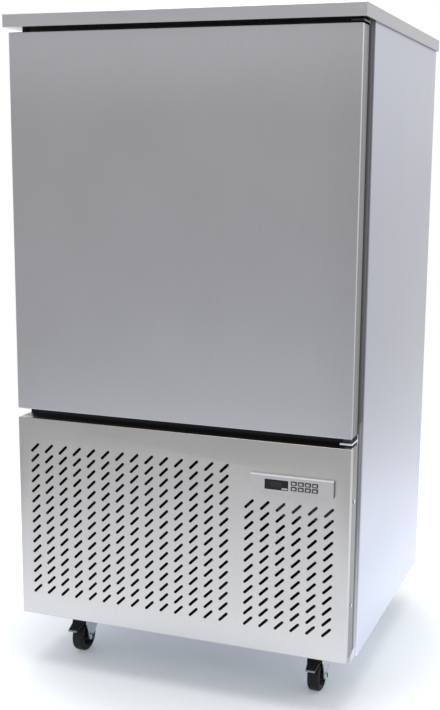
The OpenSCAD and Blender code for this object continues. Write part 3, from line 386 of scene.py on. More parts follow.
UPRIGHT = (1, 1, 60)
ALONG = (60, 1, 1)


def steel(name, colour, stretch=UPRIGHT, **settings):
    """Brushed stainless steel, its lines upright or along the width."""
    surface(name, colour, metallic=1.0, grain=1.2 * MM, stretch=stretch, tone=0.025, polish=0.03,
            bump=0.015, **settings)


def zinc(name, **settings):
    """Zinc-plated steel with faint spangles."""
    surface(name, (0.6, 0.66, 0.7), metallic=1.0, roughness=0.3, grain=6 * MM, tone=0.12, polish=0.08,
            bump=0.02, **settings)


def plastic(name, colour, **settings):
    """Moulded plastic or rubber with a fine even grain."""
    surface(name, colour, grain=0.8 * MM, tone=0.04, polish=0.05, bump=0.05, **settings)


def paint(name, colour, **settings):
    """Paint with a slight orange peel."""
    surface(name, colour, grain=3 * MM, tone=0.05, polish=0.06, bump=0.04, **settings)


def make_cabinet_finishes():
    steel("door_steel", (0.475, 0.475, 0.5), roughness=0.38, shades=door_shades())
    steel("front_steel", (0.495, 0.48, 0.48), roughness=0.34, shades=panel_shades())
    # The blue tints of the worktop, side panel and grille steels are painted reflection of bluish light from
    # the right and behind.
    steel("top_steel", (0.565, 0.565, 0.595), stretch=ALONG, roughness=0.34, shades=top_shades())
    steel("body_steel", (0.385, 0.395, 0.45), roughness=0.34, shades=side_shades())
    steel("grille_steel_painted_shade", (0.385, 0.395, 0.45), roughness=0.34, shades=grille_shades())
    steel("inner_steel", (0.66, 0.67, 0.68), roughness=0.42)
    # The posts' near-black colour is painted shade from the gap beside the door.
    paint("post_steel", (0.015, 0.015, 0.016), roughness=0.6, specular=0.1, shades=post_shades())
    paint("channel_steel", (0.06, 0.06, 0.065), roughness=0.5)
    plastic("mouth_plastic", (0.035, 0.033, 0.034), roughness=0.5)
    surface("core_board", (0.5, 0.5, 0.52), metallic=1.0, roughness=0.22, grain=4 * MM, stretch=(3, 1, 1),
            tone=0.1, bump=0.05, shades=board_shades())
    surface("foam", (0.8, 0.72, 0.45), roughness=0.9, grain=1.5 * MM, tone=0.12, bump=0.6)
    plastic("gasket_rubber", (0.02, 0.02, 0.022), roughness=0.55)
    zinc("zinc")
    zinc("hinge_zinc_painted_shade", shades=hinge_shades())
    plastic("bush_nylon", (0.03, 0.03, 0.03), roughness=0.45)


def make_controller_finishes():
    plastic("controller_plastic", (0.54, 0.53, 0.55), metallic=0.3, roughness=0.34,
            shades=controller_shades())
    plastic("key_plastic", (0.035, 0.035, 0.038), roughness=0.45)
    plastic("key_pad", (0.48, 0.48, 0.5), roughness=0.4)
    surface("display_lens", (0.006, 0.006, 0.008), roughness=0.12, grain=10 * MM, tone=0.2, polish=0.03,
            bump=0.004, specular=0.3)
    plastic("display_mark", (0.03, 0.028, 0.03), roughness=0.3)


def make_machine_finishes():
    surface("coil_aluminium", (0.4, 0.41, 0.42), metallic=1.0, roughness=0.45, grain=4 * MM, tone=0.15,
            polish=0.08, bump=0.1)
    # The condenser's black fins are partly a black coating and partly painted shade inside the machine
    # compartment.
    paint("dark_fins", (0.02, 0.02, 0.021), roughness=0.6)
    plastic("fan_plastic", (0.03, 0.03, 0.032), roughness=0.4)
    paint("guard_wire", (0.05, 0.05, 0.052), roughness=0.4)
    paint("motor_paint", (0.05, 0.05, 0.055), roughness=0.45)
    paint("black_paint", (0.015, 0.015, 0.016), roughness=0.4)
    surface("copper", (0.75, 0.36, 0.2), metallic=1.0, roughness=0.32, grain=10 * MM, tone=0.2, polish=0.1,
            bump=0.05)
    plastic("box_plastic", (0.25, 0.26, 0.27), roughness=0.5)


def make_caster_finishes():
    surface("wheel_rubber", (0.012, 0.012, 0.014), roughness=0.55, grain=1 * MM, tone=0.25, polish=0.1,
            bump=0.15, specular=0.25)
    plastic("rim_plastic", (0.02, 0.02, 0.022), roughness=0.42, specular=0.3)
    plastic("pedal_plastic", (0.012, 0.012, 0.014), roughness=0.45, specular=0.3)
    plastic("pedal_grey", (0.3, 0.3, 0.31), roughness=0.45)


# Nodes whose finish differs from the one of their slot; each of these finishes carries painted shade
FINISH_OF_NODE = {
    "worktop": "top_steel",
    "rear_grille": "grille_steel_painted_shade",
    "hinges": "hinge_zinc_painted_shade",
    "condenser_coil": "dark_fins",
}


def soften_edges(obj, width):
    bevel = obj.modifiers.new("edges", "BEVEL")
    bevel.width = width
    bevel.segments = 3
    bevel.limit_method = "ANGLE"
    bevel.angle_limit = math.radians(40)
    bevel.use_clamp_overlap = False
    bevel.harden_normals = True


def dress_nodes():
    """Every solid gets its finish, and edges softened as far as thin sheet allows."""
    usual_width = 0.4 * MM
    other_widths = {"caster_plates": 0.8 * MM, "compressor": 1.2 * MM, "rack_uprights": 1.5 * MM}
    too_fine = {"rear_grille", "evaporator_coil", "condenser_coil", "display_window", "hinges", *KEYS}
    for node, obj in frame["nodes"].items():
        finish = FINISH_OF_NODE.get(node, SLOT_OF_NODE[node])
        for slot in obj.material_slots:
            slot.material = FINISHES[finish]
        weld = obj.modifiers.new("weld", "WELD")
        weld.merge_threshold = TINY
        if node not in too_fine:
            soften_edges(obj, other_widths.get(node, usual_width))


# ---- Shapes ----

def add_piece(name, shape, finish, host, replaces=(), recalculate=True):
    """Turn a bmesh into an object that rides with the node "host" and stands for the nodes it replaces."""
    sharp_angle = math.radians(35)
    mesh = bpy.data.meshes.new(name)
    if recalculate:
        bmesh.ops.recalc_face_normals(shape, faces=shape.faces)
    for face in shape.faces:
        face.smooth = True
    shape.to_mesh(mesh)
    shape.free()
    mesh.set_sharp_from_angle(angle=sharp_angle)
    mesh.materials.append(FINISHES[finish])
    piece = bpy.data.objects.new(name, mesh)
    bpy.context.scene.collection.objects.link(piece)
    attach(piece, frame["nodes"][host]["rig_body"])
    if replaces:
        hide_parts(*replaces)
    return piece


def middle(node):
    low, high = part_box(node)
    return (low + high) / 2


def axle_of(node):
    """A place on the axis of the joint that turns a node."""
    body = frame["nodes"][node]["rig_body"]
    return next(Vector(joint["pos_m"]) for joint in frame["joints"] if joint["child"] == body)


def between(start, end, share):
    return start + (end - start) * share


def turns(count):
    """Angles that share out a full turn."""
    return [2 * math.pi * k / count for k in range(count)]


def arc(centre, radius, start, end, steps):
    """Points of an arc, its angles in degrees."""
    angles = [math.radians(between(start, end, k / steps)) for k in range(steps + 1)]
    return [(centre[0] + radius * math.cos(a), centre[1] + radius * math.sin(a)) for a in angles]


def round_rectangle(width, height, radius):
    """Points round a flat rectangle with round corners, its middle at 0."""
    corner_steps = 6
    points = []
    for quarter, (side, level) in enumerate(((1, 1), (-1, 1), (-1, -1), (1, -1))):
        centre = (side * (width / 2 - radius), level * (height / 2 - radius))
        points += arc(centre, radius, 90 * quarter, 90 * (quarter + 1), corner_steps)
    return points


def loft(shape, loops, closed=False, capped=False):
    """Join loops of equally many points, one after the other."""
    rings = [[shape.verts.new(point) for point in loop] for loop in loops]
    pairs = list(zip(rings, rings[1:]))
    if closed:
        pairs.append((rings[-1], rings[0]))
    for here, there in pairs:
        for i in range(len(here)):
            j = (i + 1) % len(here)
            shape.faces.new((here[i], here[j], there[j], there[i]))
    if capped:
        shape.faces.new(rings[0])
        shape.faces.new(reversed(rings[-1]))


def axes_round(axis):
    """An axis with two directions square to it."""
    axis = Vector(axis).normalized()
    side = axis.orthogonal().normalized()
    return axis, side, axis.cross(side)


def ring(place, radius, side, other, steps):
    """Points of a circle in the plane of two directions."""
    return [place + radius * (side * math.cos(t) + other * math.sin(t)) for t in turns(steps)]


def point_round(axle, radius, turn, y):
    """A point at a turn round an axle that runs along Y."""
    return Vector((axle.x + radius * math.cos(turn), y, axle.z + radius * math.sin(turn)))


def revolve(shape, profile, place, axis, steps):
    """Spin a closed outline of (radius, distance along the axis) round an axis through "place"."""
    axis, side, other = axes_round(axis)
    outward = [side * math.cos(turn) + other * math.sin(turn) for turn in turns(steps)]
    loft(shape, [[place + out * r + axis * d for r, d in profile] for out in outward], closed=True)


def prism(shape, points, depth):
    """A flat outline of 3-D points with the thickness "depth", a vector."""
    loft(shape, [[Vector(p) for p in points], [Vector(p) + Vector(depth) for p in points]], capped=True)


def tube(shape, points, radius, closed=False):
    """A round wire along the points."""
    wire_steps = 8
    loops = []
    count = len(points)
    last_side = None
    for i, point in enumerate(points):
        before = points[(i - 1) % count] if closed or i > 0 else point
        after = points[(i + 1) % count] if closed or i < count - 1 else point
        along, side, other = axes_round(after - before)
        if last_side is not None:
            side = (last_side - along * along.dot(last_side)).normalized()
            other = along.cross(side)
        last_side = side
        loops.append(ring(point, radius, side, other, wire_steps))
    loft(shape, loops, closed=closed, capped=not closed)


def hexagon(shape, place, axis, width, depth):
    """A hexagonal bolt head or nut with its foot at "place"."""
    axis, side, other = axes_round(axis)
    chamfer = 0.12 * depth
    top_share = 0.9
    loops = []
    for share, lift in ((1, 0), (1, depth - chamfer), (top_share, depth)):
        loops.append(ring(place + axis * lift, share * width / math.sqrt(3), side, other, 6))
    loft(shape, loops, capped=True)


def dome(shape, place, axis, radius, height):
    """A round screw or rivet head with its foot at "place"."""
    curve = [(max(r, TINY), d) for r, d in arc((0, 0), 1, 0, 90, 5)]
    profile = [(radius * r, height * d) for r, d in curve]
    revolve(shape, profile + [(TINY, 0)], place, axis, 20)


# ---- Sheet metal ----

SHEET = 1 * MM
BEND = 2.4 * MM
BEND_STEPS = 5
LEAST_CORNER = 0.5 * MM


def pressed_pan(node, name, finish):
    """A pan-shaped node with a round bend along each outer edge of its front."""
    low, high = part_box(node)
    near = 0.02 * MM
    levels = ((0, low.x), (0, high.x), (1, low.y), (2, low.z), (2, high.z))
    shape = bmesh.new()
    shape.from_mesh(frame["nodes"][node].data)
    bmesh.ops.remove_doubles(shape, verts=shape.verts, dist=TINY)
    bmesh.ops.dissolve_limit(shape, angle_limit=math.radians(1), verts=shape.verts, edges=shape.edges)

    def shared_planes(edge):
        return sum(all(abs(vertex.co[axis] - level) < near for vertex in edge.verts)
                   for axis, level in levels)

    outer = [edge for edge in shape.edges if shared_planes(edge) > 1]
    bmesh.ops.bevel(shape, geom=outer, offset=BEND, segments=BEND_STEPS, profile=0.5, affect="EDGES",
                    clamp_overlap=False)
    add_piece(name, shape, finish, node, replaces=[node], recalculate=False)


def framed_loop(low, high, inset, radius, level, flat="y"):
    """A round-cornered loop at a level of the flat axis, "inset" inside the box from low to high."""
    centre = (low + high) / 2
    size = high - low
    width = size.x - 2 * inset
    if flat == "y":
        corners = round_rectangle(width, size.z - 2 * inset, radius)
        return [Vector((centre.x + x, level, centre.z + z)) for x, z in corners]
    corners = round_rectangle(width, size.y - 2 * inset, radius)
    return [Vector((centre.x + x, centre.y + y, level)) for x, y in corners]


def make_worktop():
    """The worktop sheet: a pan turned over, with its upper edges and its corners rounded."""
    low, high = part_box("worktop")
    bend_middle = (BEND, high.z - BEND)
    outside = [(0, low.z)] + arc(bend_middle, BEND, 180, 90, BEND_STEPS)
    inside = [(SHEET, low.z)] + arc(bend_middle, BEND - SHEET, 180, 90, BEND_STEPS)
    top = bmesh.new()
    loft(top, [framed_loop(low, high, inset, max(BEND - inset, LEAST_CORNER), z, flat="z")
               for inset, z in outside[::-1] + inside], capped=True)
    add_piece("worktop_pressed", top, "top_steel", "worktop", replaces=["worktop"])


def make_side_panels():
    """Side panels: one sheet each, bent inward along the front."""
    for side, inward in (("left", 1), ("right", -1)):
        node = side + "_side_panel"
        low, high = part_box(node)
        outer_x = low.x if side == "left" else high.x
        flange, depth = high.x - low.x, high.y - low.y
        outer_bend = arc((BEND, BEND), BEND, 270, 180, BEND_STEPS)
        inner_bend = arc((BEND, BEND), BEND - SHEET, 270, 180, BEND_STEPS)
        outside = [(flange, 0)] + outer_bend + [(0, depth)]
        inside = [(flange, SHEET)] + inner_bend + [(SHEET, depth)]
        panel = bmesh.new()
        prism(panel, [Vector((outer_x + inward * x, low.y + y, low.z)) for x, y in outside + inside[::-1]],
              (0, 0, high.z - low.z))
        add_piece(side + "_side_pressed", panel, "body_steel", node, replaces=[node])


def make_gasket():
    """The door's magnetic gasket: a clip strip, a folding waist and a flat magnet pocket."""
    low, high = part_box("door_gasket")
    width, waist, corner = 28 * MM, 5 * MM, 6 * MM
    depth = high.y - low.y
    clip_end, waist_level, pocket_start = 0.25 * depth, 0.4 * depth, 0.6 * depth
    inner_side = [(0, clip_end), (waist, waist_level), (0.5 * waist, pocket_start), (0.3 * waist, depth)]
    outer_side = [(width - inset, y) for inset, y in inner_side]
    profile = [(0, 0), (width, 0)] + outer_side + inner_side[::-1]
    gasket = bmesh.new()
    loft(gasket, [framed_loop(low, high, inset, max(corner - inset, LEAST_CORNER), low.y + y)
                  for inset, y in profile], closed=True)
    add_piece("gasket_profile", gasket, "gasket_rubber", "door_gasket", replaces=["door_gasket"])


def make_chamber_liner():
    """The chamber's inner skin, with coved corners that can be wiped clean."""
    low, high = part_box("chamber_liner")
    cove = 14 * MM
    inside = [framed_loop(low, high, SHEET, cove, low.y)]
    for across, along in arc((0, 0), 1, 0, 90, 5):
        level = high.y - SHEET - cove * (1 - along)
        corner = max(cove * across, LEAST_CORNER)
        inside.append(framed_loop(low, high, SHEET + cove * (1 - across), corner, level))
    outside = [framed_loop(low, high, 0, cove, low.y), framed_loop(low, high, 0, cove, high.y)]
    liner = bmesh.new()
    loft(liner, inside[::-1] + outside, capped=True)
    add_piece("liner_skin", liner, "inner_steel", "chamber_liner", replaces=["chamber_liner"])


def make_door_liner():
    """The door's inner skin: a flat margin and a raised field with rounded corners and bent edges."""
    low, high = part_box("door_liner")
    slope, margin, bend, corner = 0.5 * MM, 60 * MM, 1.2 * MM, 4 * MM
    flat_y = low.y + SHEET
    outline = [(margin + slope + SHEET, high.y - SHEET, corner), (margin + SHEET, low.y, corner),
               (0, low.y, bend), (0, flat_y, bend), (margin - bend, flat_y, corner),
               (margin, flat_y + bend, corner), (margin + slope, high.y - bend, corner),
               (margin + slope + bend, high.y, corner)]
    liner = bmesh.new()
    loft(liner, [framed_loop(low, high, inset, radius, y) for inset, y, radius in outline], capped=True)
    add_piece("door_liner_pressed", liner, "inner_steel", "door_liner", replaces=["door_liner"])


def make_louvres():
    """Pressed hoods over the rear grille's slots. They keep splashes and stray light out, and a black lining
    under each is painted shade.
    """
    low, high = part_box("rear_grille")
    columns, rows = 5, 14
    pitch_x, side_margin, foot_margin, head_margin = 90 * MM, 152.5 * MM, 90 * MM, 118 * MM
    pitch_z = (high.z - low.z - foot_margin - head_margin) / (rows - 1)
    hood_w, hood_out, cheek = 76 * MM, 7 * MM, 1 * MM
    hood_top, hood_drop = 7 * MM, 17 * MM
    skin_t, lining_t = 0.6 * MM, 0.4 * MM

    def hood_curve(inset):
        """The hood's section, "inset" inside its outer face."""
        return [((hood_out - inset) * y, hood_top - inset - (hood_drop - inset) * (1 - z))
                for y, z in arc((0, 0), 1, 90, 0, 5)]

    outer, lined, inner = hood_curve(0), hood_curve(skin_t), hood_curve(skin_t + lining_t)
    cheek_outline = outer + [(0, hood_top - hood_drop)]
    hoods, lining = bmesh.new(), bmesh.new()
    for column in range(columns):
        for row in range(rows):
            foot = Vector((low.x + side_margin + column * pitch_x - hood_w / 2, high.y,
                           low.z + foot_margin + row * pitch_z))
            prism(hoods, [foot + Vector((0, y, z)) for y, z in outer + lined[::-1]], (hood_w, 0, 0))
            for x in (0, hood_w - cheek):
                prism(hoods, [foot + Vector((x, y, z)) for y, z in cheek_outline], (cheek, 0, 0))
            # The black lining is painted shade under each hood
            prism(lining, [foot + Vector((cheek, y, z)) for y, z in lined + inner[::-1]],
                  (hood_w - 2 * cheek, 0, 0))
    add_piece("rear_louvres", hoods, "grille_steel_painted_shade", "rear_grille")
    add_piece("louvre_painted_shade_lining", lining, "black_paint", "rear_grille")


def make_rear_screws():
    """Pan-head screws round the rear panel and the grille."""
    head_r, head_h, inset = 4 * MM, 2 * MM, 12 * MM
    screws = bmesh.new()
    for node, rows in (("rear_grille", 4), ("rear_panel", 5)):
        low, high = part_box(node)
        for row in range(rows):
            z = between(low.z + inset, high.z - inset, row / (rows - 1))
            for x in (low.x + inset, high.x - inset):
                dome(screws, Vector((x, high.y, z)), (0, 1, 0), head_r, head_h)
    add_piece("rear_screws", screws, "zinc", "rear_panel")


# ---- Controller ----

def make_key_pads():
    """A light pad on the face of each dark key."""
    pad_w, pad_h, rim, corner = 7.4 * MM, 4.6 * MM, 0.15 * MM, 0.8 * MM
    levels = ((pad_w, pad_h, -rim), (pad_w, pad_h, rim), (pad_w - 2 * rim, pad_h - 2 * rim, 2 * rim))
    for key in KEYS:
        face = middle(key)
        face.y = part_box(key)[0].y
        pad = bmesh.new()
        loft(pad, [[face + Vector((x, -lift, z)) for x, z in round_rectangle(width, height, corner)]
                   for width, height, lift in levels], capped=True)
        add_piece(key.replace("key_", "key_pad_"), pad, "key_pad", key)


def bar_outline(centre, width, height):
    """A display segment: a bar with pointed ends along its longer side."""
    tip = min(width, height) / 2
    x, z = width / 2, height / 2
    if width > height:
        corners = [(-x, 0), (tip - x, z), (x - tip, z), (x, 0), (x - tip, -z), (tip - x, -z)]
    else:
        corners = [(0, -z), (-x, tip - z), (-x, z - tip), (0, z), (x, z - tip), (x, tip - z)]
    return [centre + Vector((cx, 0, cz)) for cx, cz in corners]


def make_display():
    """Three unlit digits behind the lens, and a small bare tag in its lower right corner."""
    low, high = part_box("display_window")
    centre = (low + high) / 2
    film = 0.05 * MM
    digit_w, digit_h, stroke, gap = 5.2 * MM, 10 * MM, 1.1 * MM, 0.25 * MM
    digit_count, first_digit, pitch, rise = 3, -9 * MM, 8.4 * MM, 1 * MM
    marks = bmesh.new()
    for digit in range(digit_count):
        at = Vector((centre.x + first_digit + digit * pitch, low.y - film, centre.z + rise))
        for level in (-1, 0, 1):
            bar = bar_outline(at + Vector((0, 0, level * digit_h / 2)), digit_w - 2 * gap, stroke)
            prism(marks, bar, (0, 2 * film, 0))
        for side in (-1, 1):
            for half in (-1, 1):
                spot = at + Vector((side * digit_w / 2, 0, half * digit_h / 4))
                prism(marks, bar_outline(spot, stroke, digit_h / 2 - 2 * gap), (0, 2 * film, 0))
    add_piece("display_digits", marks, "display_mark", "display_window")

    tag_w, tag_h, tag_inset, tag_corner = 13 * MM, 3.8 * MM, 1.5 * MM, 0.6 * MM
    spot = Vector((high.x - tag_w / 2 - tag_inset, low.y - film, low.z + tag_h / 2 + tag_inset))
    tag = bmesh.new()
    prism(tag, [spot + Vector((x, 0, z)) for x, z in round_rectangle(tag_w, tag_h, tag_corner)],
          (0, 2 * film, 0))
    add_piece("display_tag", tag, "key_pad", "display_window")


# ---- Fans ----

def blade_face(centre, root_r, tip_r, depth, turn, offset):
    """Points across one face of a blade, from its root to its tip, "offset" from its middle surface."""
    rings, steps = 6, 8
    root_reach, tip_reach, sweep = math.radians(30), math.radians(33), 0.25
    root_lift, tip_lift, camber = 0.836 * depth, 0.616 * depth, 0.1 * depth
    grid = []
    for number in range(rings + 1):
        share = number / rings
        radius = between(root_r, tip_r, share)
        reach = between(root_reach, tip_reach, share)
        lift = between(root_lift, tip_lift, share)
        row = []
        for step in range(steps + 1):
            along = step / steps - 0.5
            angle = turn + 2 * along * reach + sweep * share
            y = centre.y + along * lift + camber * math.cos(math.pi * along) + offset
            row.append(point_round(centre, radius, angle, y))
        grid.append(row)
    return grid


def make_blade(shape, centre, root_r, tip_r, depth, turn):
    """A curved blade, twisted from a steep root to a flat tip."""
    thickness = 1.6 * MM
    front, back = [[[shape.verts.new(point) for point in row]
                    for row in blade_face(centre, root_r, tip_r, depth, turn, side * thickness / 2)]
                   for side in (-1, 1)]
    rings, steps = len(front) - 1, len(front[0]) - 1
    for i in range(rings):
        for j in range(steps):
            shape.faces.new((front[i][j], front[i + 1][j], front[i + 1][j + 1], front[i][j + 1]))
            shape.faces.new((back[i][j], back[i][j + 1], back[i + 1][j + 1], back[i + 1][j]))
    rim = [(i, 0) for i in range(rings)] + [(rings, j) for j in range(steps)]
    rim += [(i, steps) for i in range(rings, 0, -1)] + [(0, j) for j in range(steps, 0, -1)]
    for (a, b), (c, d) in zip(rim, rim[1:] + rim[:1]):
        shape.faces.new((front[a][b], front[c][d], back[c][d], back[a][b]))


def make_fans():
    """Moulded fans: five blades on a hub with a round nose."""
    bore_r, nose_r, root_sink, tip_trim, blade_count = 4.05 * MM, 5 * MM, 2 * MM, 0.5 * MM, 5
    for node, hub_r in (("evaporator_fan_upper", 30 * MM), ("evaporator_fan_lower", 30 * MM),
                        ("condenser_fan", 34 * MM)):
        low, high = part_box(node)
        centre = axle_of(node)
        centre.y = middle(node).y
        half, tip_r = (high.y - low.y) / 2, (high.z - low.z) / 2 - tip_trim
        fan = bmesh.new()
        nose = [(r, -d) for r, d in arc((hub_r - nose_r, half - nose_r), nose_r, 90, 0, 5)]
        revolve(fan, [(bore_r, -half)] + nose + [(hub_r, half), (bore_r, half)], centre, (0, 1, 0), 48)
        for turn in turns(blade_count):
            make_blade(fan, centre, hub_r - root_sink, tip_r, 2 * half, turn)
        add_piece(node + "_moulded", fan, "fan_plastic", node, replaces=[node])


def make_guards():
    """Round-wire guards: rings on radial wires that meet at a hub plate, and feet back to the baffle."""
    node = "evaporator_fan_guards"
    low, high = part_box(node)
    wire_r, ring_count, ring_steps, spoke_count, foot_count = 1.25 * MM, 9, 64, 8, 4
    foot_r = 1.4 * wire_r
    hub_r, hub_chamfer, hub_t, spoke_sink, rim_gap = 13 * MM, 1 * MM, 1.5 * MM, 2 * MM, 1 * MM
    outer_r = (high.x - low.x) / 2 - wire_r - rim_gap
    front_y, spoke_y, foot_y = low.y + wire_r, low.y + 3 * wire_r, high.y - wire_r
    hub_plate = [(TINY, -hub_chamfer), (hub_r - hub_chamfer, -hub_chamfer), (hub_r, 0), (hub_r, hub_t),
                 (TINY, hub_t)]
    guards = bmesh.new()
    for fan in ("evaporator_fan_upper", "evaporator_fan_lower"):
        axle = axle_of(fan)
        for number in range(1, ring_count + 1):
            ring_r = between(hub_r, outer_r, number / ring_count)
            circle = [point_round(axle, ring_r, turn, front_y) for turn in turns(ring_steps)]
            tube(guards, circle, wire_r, closed=True)
        for turn in turns(spoke_count):
            spoke = [point_round(axle, r, turn, spoke_y) for r in (hub_r - spoke_sink, outer_r)]
            tube(guards, spoke, wire_r)
        for turn in turns(foot_count):
            foot = [point_round(axle, outer_r, turn, y) for y in (front_y, foot_y)]
            tube(guards, foot, foot_r)
        revolve(guards, hub_plate, Vector((axle.x, front_y, axle.z)), (0, 1, 0), 32)
    add_piece("guards_wire", guards, "guard_wire", node, replaces=[node])


# ---- Casters ----

def mirrored(half_profile):
    """A closed outline of (radius, distance) from the half of it that has distances above 0."""
    return half_profile + [(r, -d) for r, d in reversed(half_profile)]


def make_tyre(corner, rim_r, half_width):
    """A solid rubber tyre with round shoulders, and a groove where it meets the rim."""
    node = "wheel_" + corner
    low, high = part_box(node)
    radius = (high.z - low.z) / 2
    shoulder, groove_w, groove_h = 6 * MM, 0.6 * MM, 2 * MM
    curve = arc((half_width - shoulder, radius - shoulder), shoulder, 0, 90, 6)
    half = [(rim_r, half_width), (rim_r + groove_h, half_width - groove_w)] + [(r, x) for x, r in curve]
    tyre = bmesh.new()
    revolve(tyre, mirrored(half), middle(node), (1, 0, 0), 96)
    add_piece("tyre_" + corner, tyre, "wheel_rubber", node, replaces=[node])


def make_rim(corner, rim_r, half_width):
    """A plastic rim: a bored hub, a thin web and ribs out to the rim's wall."""
    node = "wheel_" + corner
    low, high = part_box(node)
    place = (low + high) / 2
    hub_half = (high.x - low.x) / 2
    hub_r, bore_r, web, wall, chamfer, overlap = 11 * MM, 4.05 * MM, 4 * MM, 4 * MM, 1 * MM, 0.2 * MM
    rib_count, rib_w, rib_drop, root = 6, 2.4 * MM, 2 * MM, 1 * MM
    inner_r = rim_r - wall
    half = [(bore_r, hub_half), (hub_r - chamfer, hub_half), (hub_r, hub_half - chamfer), (hub_r, web),
            (inner_r, web), (inner_r, half_width), (rim_r + overlap, half_width)]
    rib_foot, rib_head, hub_side = web - root, half_width - root, hub_r - root
    rib = [(rib_foot, hub_side), (rib_foot, inner_r + root), (rib_head - rib_drop, inner_r + root),
           (rib_head, hub_side)]
    rim = bmesh.new()
    revolve(rim, mirrored(half), place, (1, 0, 0), 64)
    for turn in turns(rib_count):
        spin = Matrix.Rotation(turn, 3, "X")
        for side in (-1, 1):
            prism(rim, [place + spin @ Vector((side * x, -rib_w / 2, r)) for x, r in rib],
                  spin @ Vector((0, rib_w, 0)))
    add_piece("rim_" + corner, rim, "rim_plastic", node, replaces=[node])


def make_wheels():
    """Solid rubber tyres on ribbed plastic rims that are a little narrower."""
    rim_r, tyre_w, rim_inset = 28.5 * MM, 28 * MM, 1.5 * MM
    for corner in CORNERS:
        make_tyre(corner, rim_r, tyre_w / 2)
        make_rim(corner, rim_r, tyre_w / 2 - rim_inset)


def make_caster_fittings():
    """Nuts on the axles, and bolts through the top plates."""
    nut_w, nut_h, head_w, head_h = 11 * MM, 3.5 * MM, 12 * MM, 4 * MM
    bolt_x, bolt_y, plate_t = 36 * MM, 27 * MM, 3 * MM
    plate_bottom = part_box("base_channels")[0].z - plate_t
    bolts = bmesh.new()
    for corner in CORNERS:
        fork = "fork_" + corner
        low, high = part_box(fork)
        axle = middle("wheel_" + corner)
        nuts = bmesh.new()
        for x, sign in ((low.x, -1), (high.x, 1)):
            hexagon(nuts, Vector((x - sign * nut_h, axle.y, axle.z)), (sign, 0, 0), nut_w, nut_h)
        add_piece("axle_nuts_" + corner, nuts, "zinc", fork)
        swivel = axle_of(fork)
        for side in (-1, 1):
            for end in (-1, 1):
                spot = Vector((swivel.x + side * bolt_x, swivel.y + end * bolt_y, plate_bottom))
                hexagon(bolts, spot, (0, 0, -1), head_w, head_h)
    add_piece("caster_bolts", bolts, "zinc", "caster_plates")


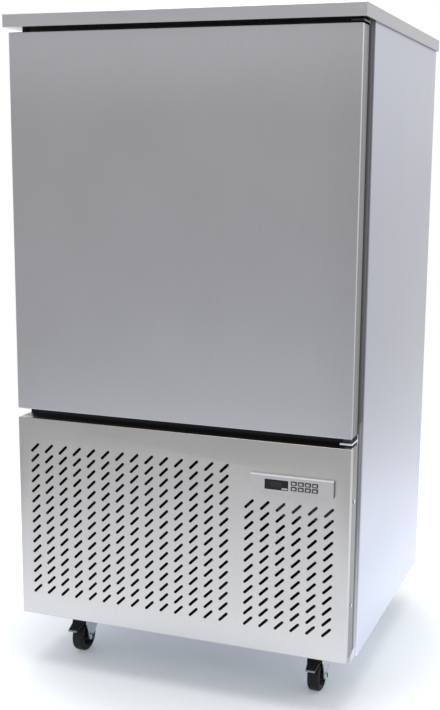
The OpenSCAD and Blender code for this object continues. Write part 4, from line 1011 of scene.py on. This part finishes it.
def make_pedal(side):
    """A moulded brake pedal: a ribbed pad that narrows to a grey tip, on a block that turns on the pin."""
    node = "pedal_" + side
    low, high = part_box(node)
    hub_r, bore_r, block_w, edge = 4.2 * MM, 2.6 * MM, 31 * MM, 0.5 * MM
    root_w, tip_w, root_t, tip_t, tip_l = 28 * MM, 22 * MM, 6 * MM, 4 * MM, 2.5 * MM
    rib_w, rib_h, rib_count, first_rib, rib_pitch = 1.4 * MM, 0.8 * MM, 4, 0.35, 0.15
    root_out, root_drop, block_near, block_far = 13 * MM, 4 * MM, -2.8 * MM, -16 * MM
    block = [(block_near, 3.4 * MM), (block_far, 1.5 * MM), (block_far, -root_drop), (block_near, -3.6 * MM)]
    pivot = Vector(((low.x + high.x) / 2, high.y - hub_r, high.z - hub_r))
    root_y, root_z, tip_y = pivot.y - root_out, pivot.z - root_drop, low.y + tip_l
    pad_l = root_y - tip_y

    def pad_section(share, lift=0.0):
        """A section across the pad, from its root at 0 to its tip at 1; "lift" raises its upper side."""
        half = between(root_w, tip_w, share) / 2
        y = between(root_y, tip_y, share)
        foot = between(root_z, low.z, share)
        top = foot + between(root_t, tip_t, share) + lift
        corners = ((-half, foot), (half, foot), (half, top), (-half, top))
        return [Vector((pivot.x + x, y, z)) for x, z in corners]

    pedal = bmesh.new()
    revolve(pedal, mirrored([(bore_r, block_w / 2), (hub_r, block_w / 2)]), pivot, (1, 0, 0), 32)
    prism(pedal, [pivot + Vector((-block_w / 2, y, z)) for y, z in block], (block_w, 0, 0))
    loft(pedal, [pad_section(0), pad_section(1)], capped=True)
    for rib in range(rib_count):
        start = first_rib + rib_pitch * rib
        loft(pedal, [pad_section(start, rib_h), pad_section(start + rib_w / pad_l, rib_h)], capped=True)
    soften_edges(add_piece(node + "_moulded", pedal, "pedal_plastic", node, replaces=[node]), edge)

    cap = bmesh.new()
    prism(cap, pad_section(1), (0, low.y - tip_y, 0))
    soften_edges(add_piece("pedal_cap_" + side, cap, "pedal_grey", node, replaces=[node]), edge)


# ---- Machine compartment ----

def make_gland():
    """The cable gland: a hexagonal body, a ribbed dome nut and its round mouth."""
    node = "cable_gland"
    low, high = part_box(node)
    place = middle(node)
    place.y = low.y
    length = high.y - low.y
    bore_r, thread_r, cap_r, cap_round = 5.5 * MM, 10 * MM, 12.5 * MM, 5 * MM
    nut_w, inner_nut, outer_nut, panel_y = 24 * MM, 5 * MM, 5 * MM, 10 * MM
    rib_r, rib_l, rib_count = 0.8 * MM, 10 * MM, 12
    cap_y = panel_y + SHEET + outer_nut
    mouth = arc((cap_r - cap_round, length - cap_round), cap_round, 0, 90, 5)
    profile = [(bore_r, 0), (thread_r, 0), (thread_r, cap_y), (cap_r, cap_y)] + mouth + [(bore_r, length)]
    gland = bmesh.new()
    revolve(gland, profile, place, (0, 1, 0), 48)
    hexagon(gland, place + Vector((0, panel_y - inner_nut, 0)), (0, 1, 0), nut_w, inner_nut)
    hexagon(gland, place + Vector((0, panel_y + SHEET, 0)), (0, 1, 0), nut_w, outer_nut)
    for turn in turns(rib_count):
        rib = [point_round(place, cap_r, turn, place.y + y) for y in (cap_y, cap_y + rib_l)]
        tube(gland, rib, rib_r)
    add_piece("gland_moulded", gland, "black_paint", node, replaces=[node])


bpy.context.scene.view_settings.view_transform = "Standard"
make_camera()
make_world()
make_floor()
make_lamps()
make_cabinet_finishes()
make_controller_finishes()
make_machine_finishes()
make_caster_finishes()
dress_nodes()
pressed_pan("door_skin", "door_pressed", "door_steel")
pressed_pan("lower_panel", "lower_panel_pressed", "front_steel")
make_worktop()
make_side_panels()
make_gasket()
make_chamber_liner()
make_door_liner()
make_louvres()
make_rear_screws()
make_key_pads()
make_display()
make_fans()
make_guards()
make_wheels()
make_caster_fittings()
make_pedal("left")
make_pedal("right")
make_gland()
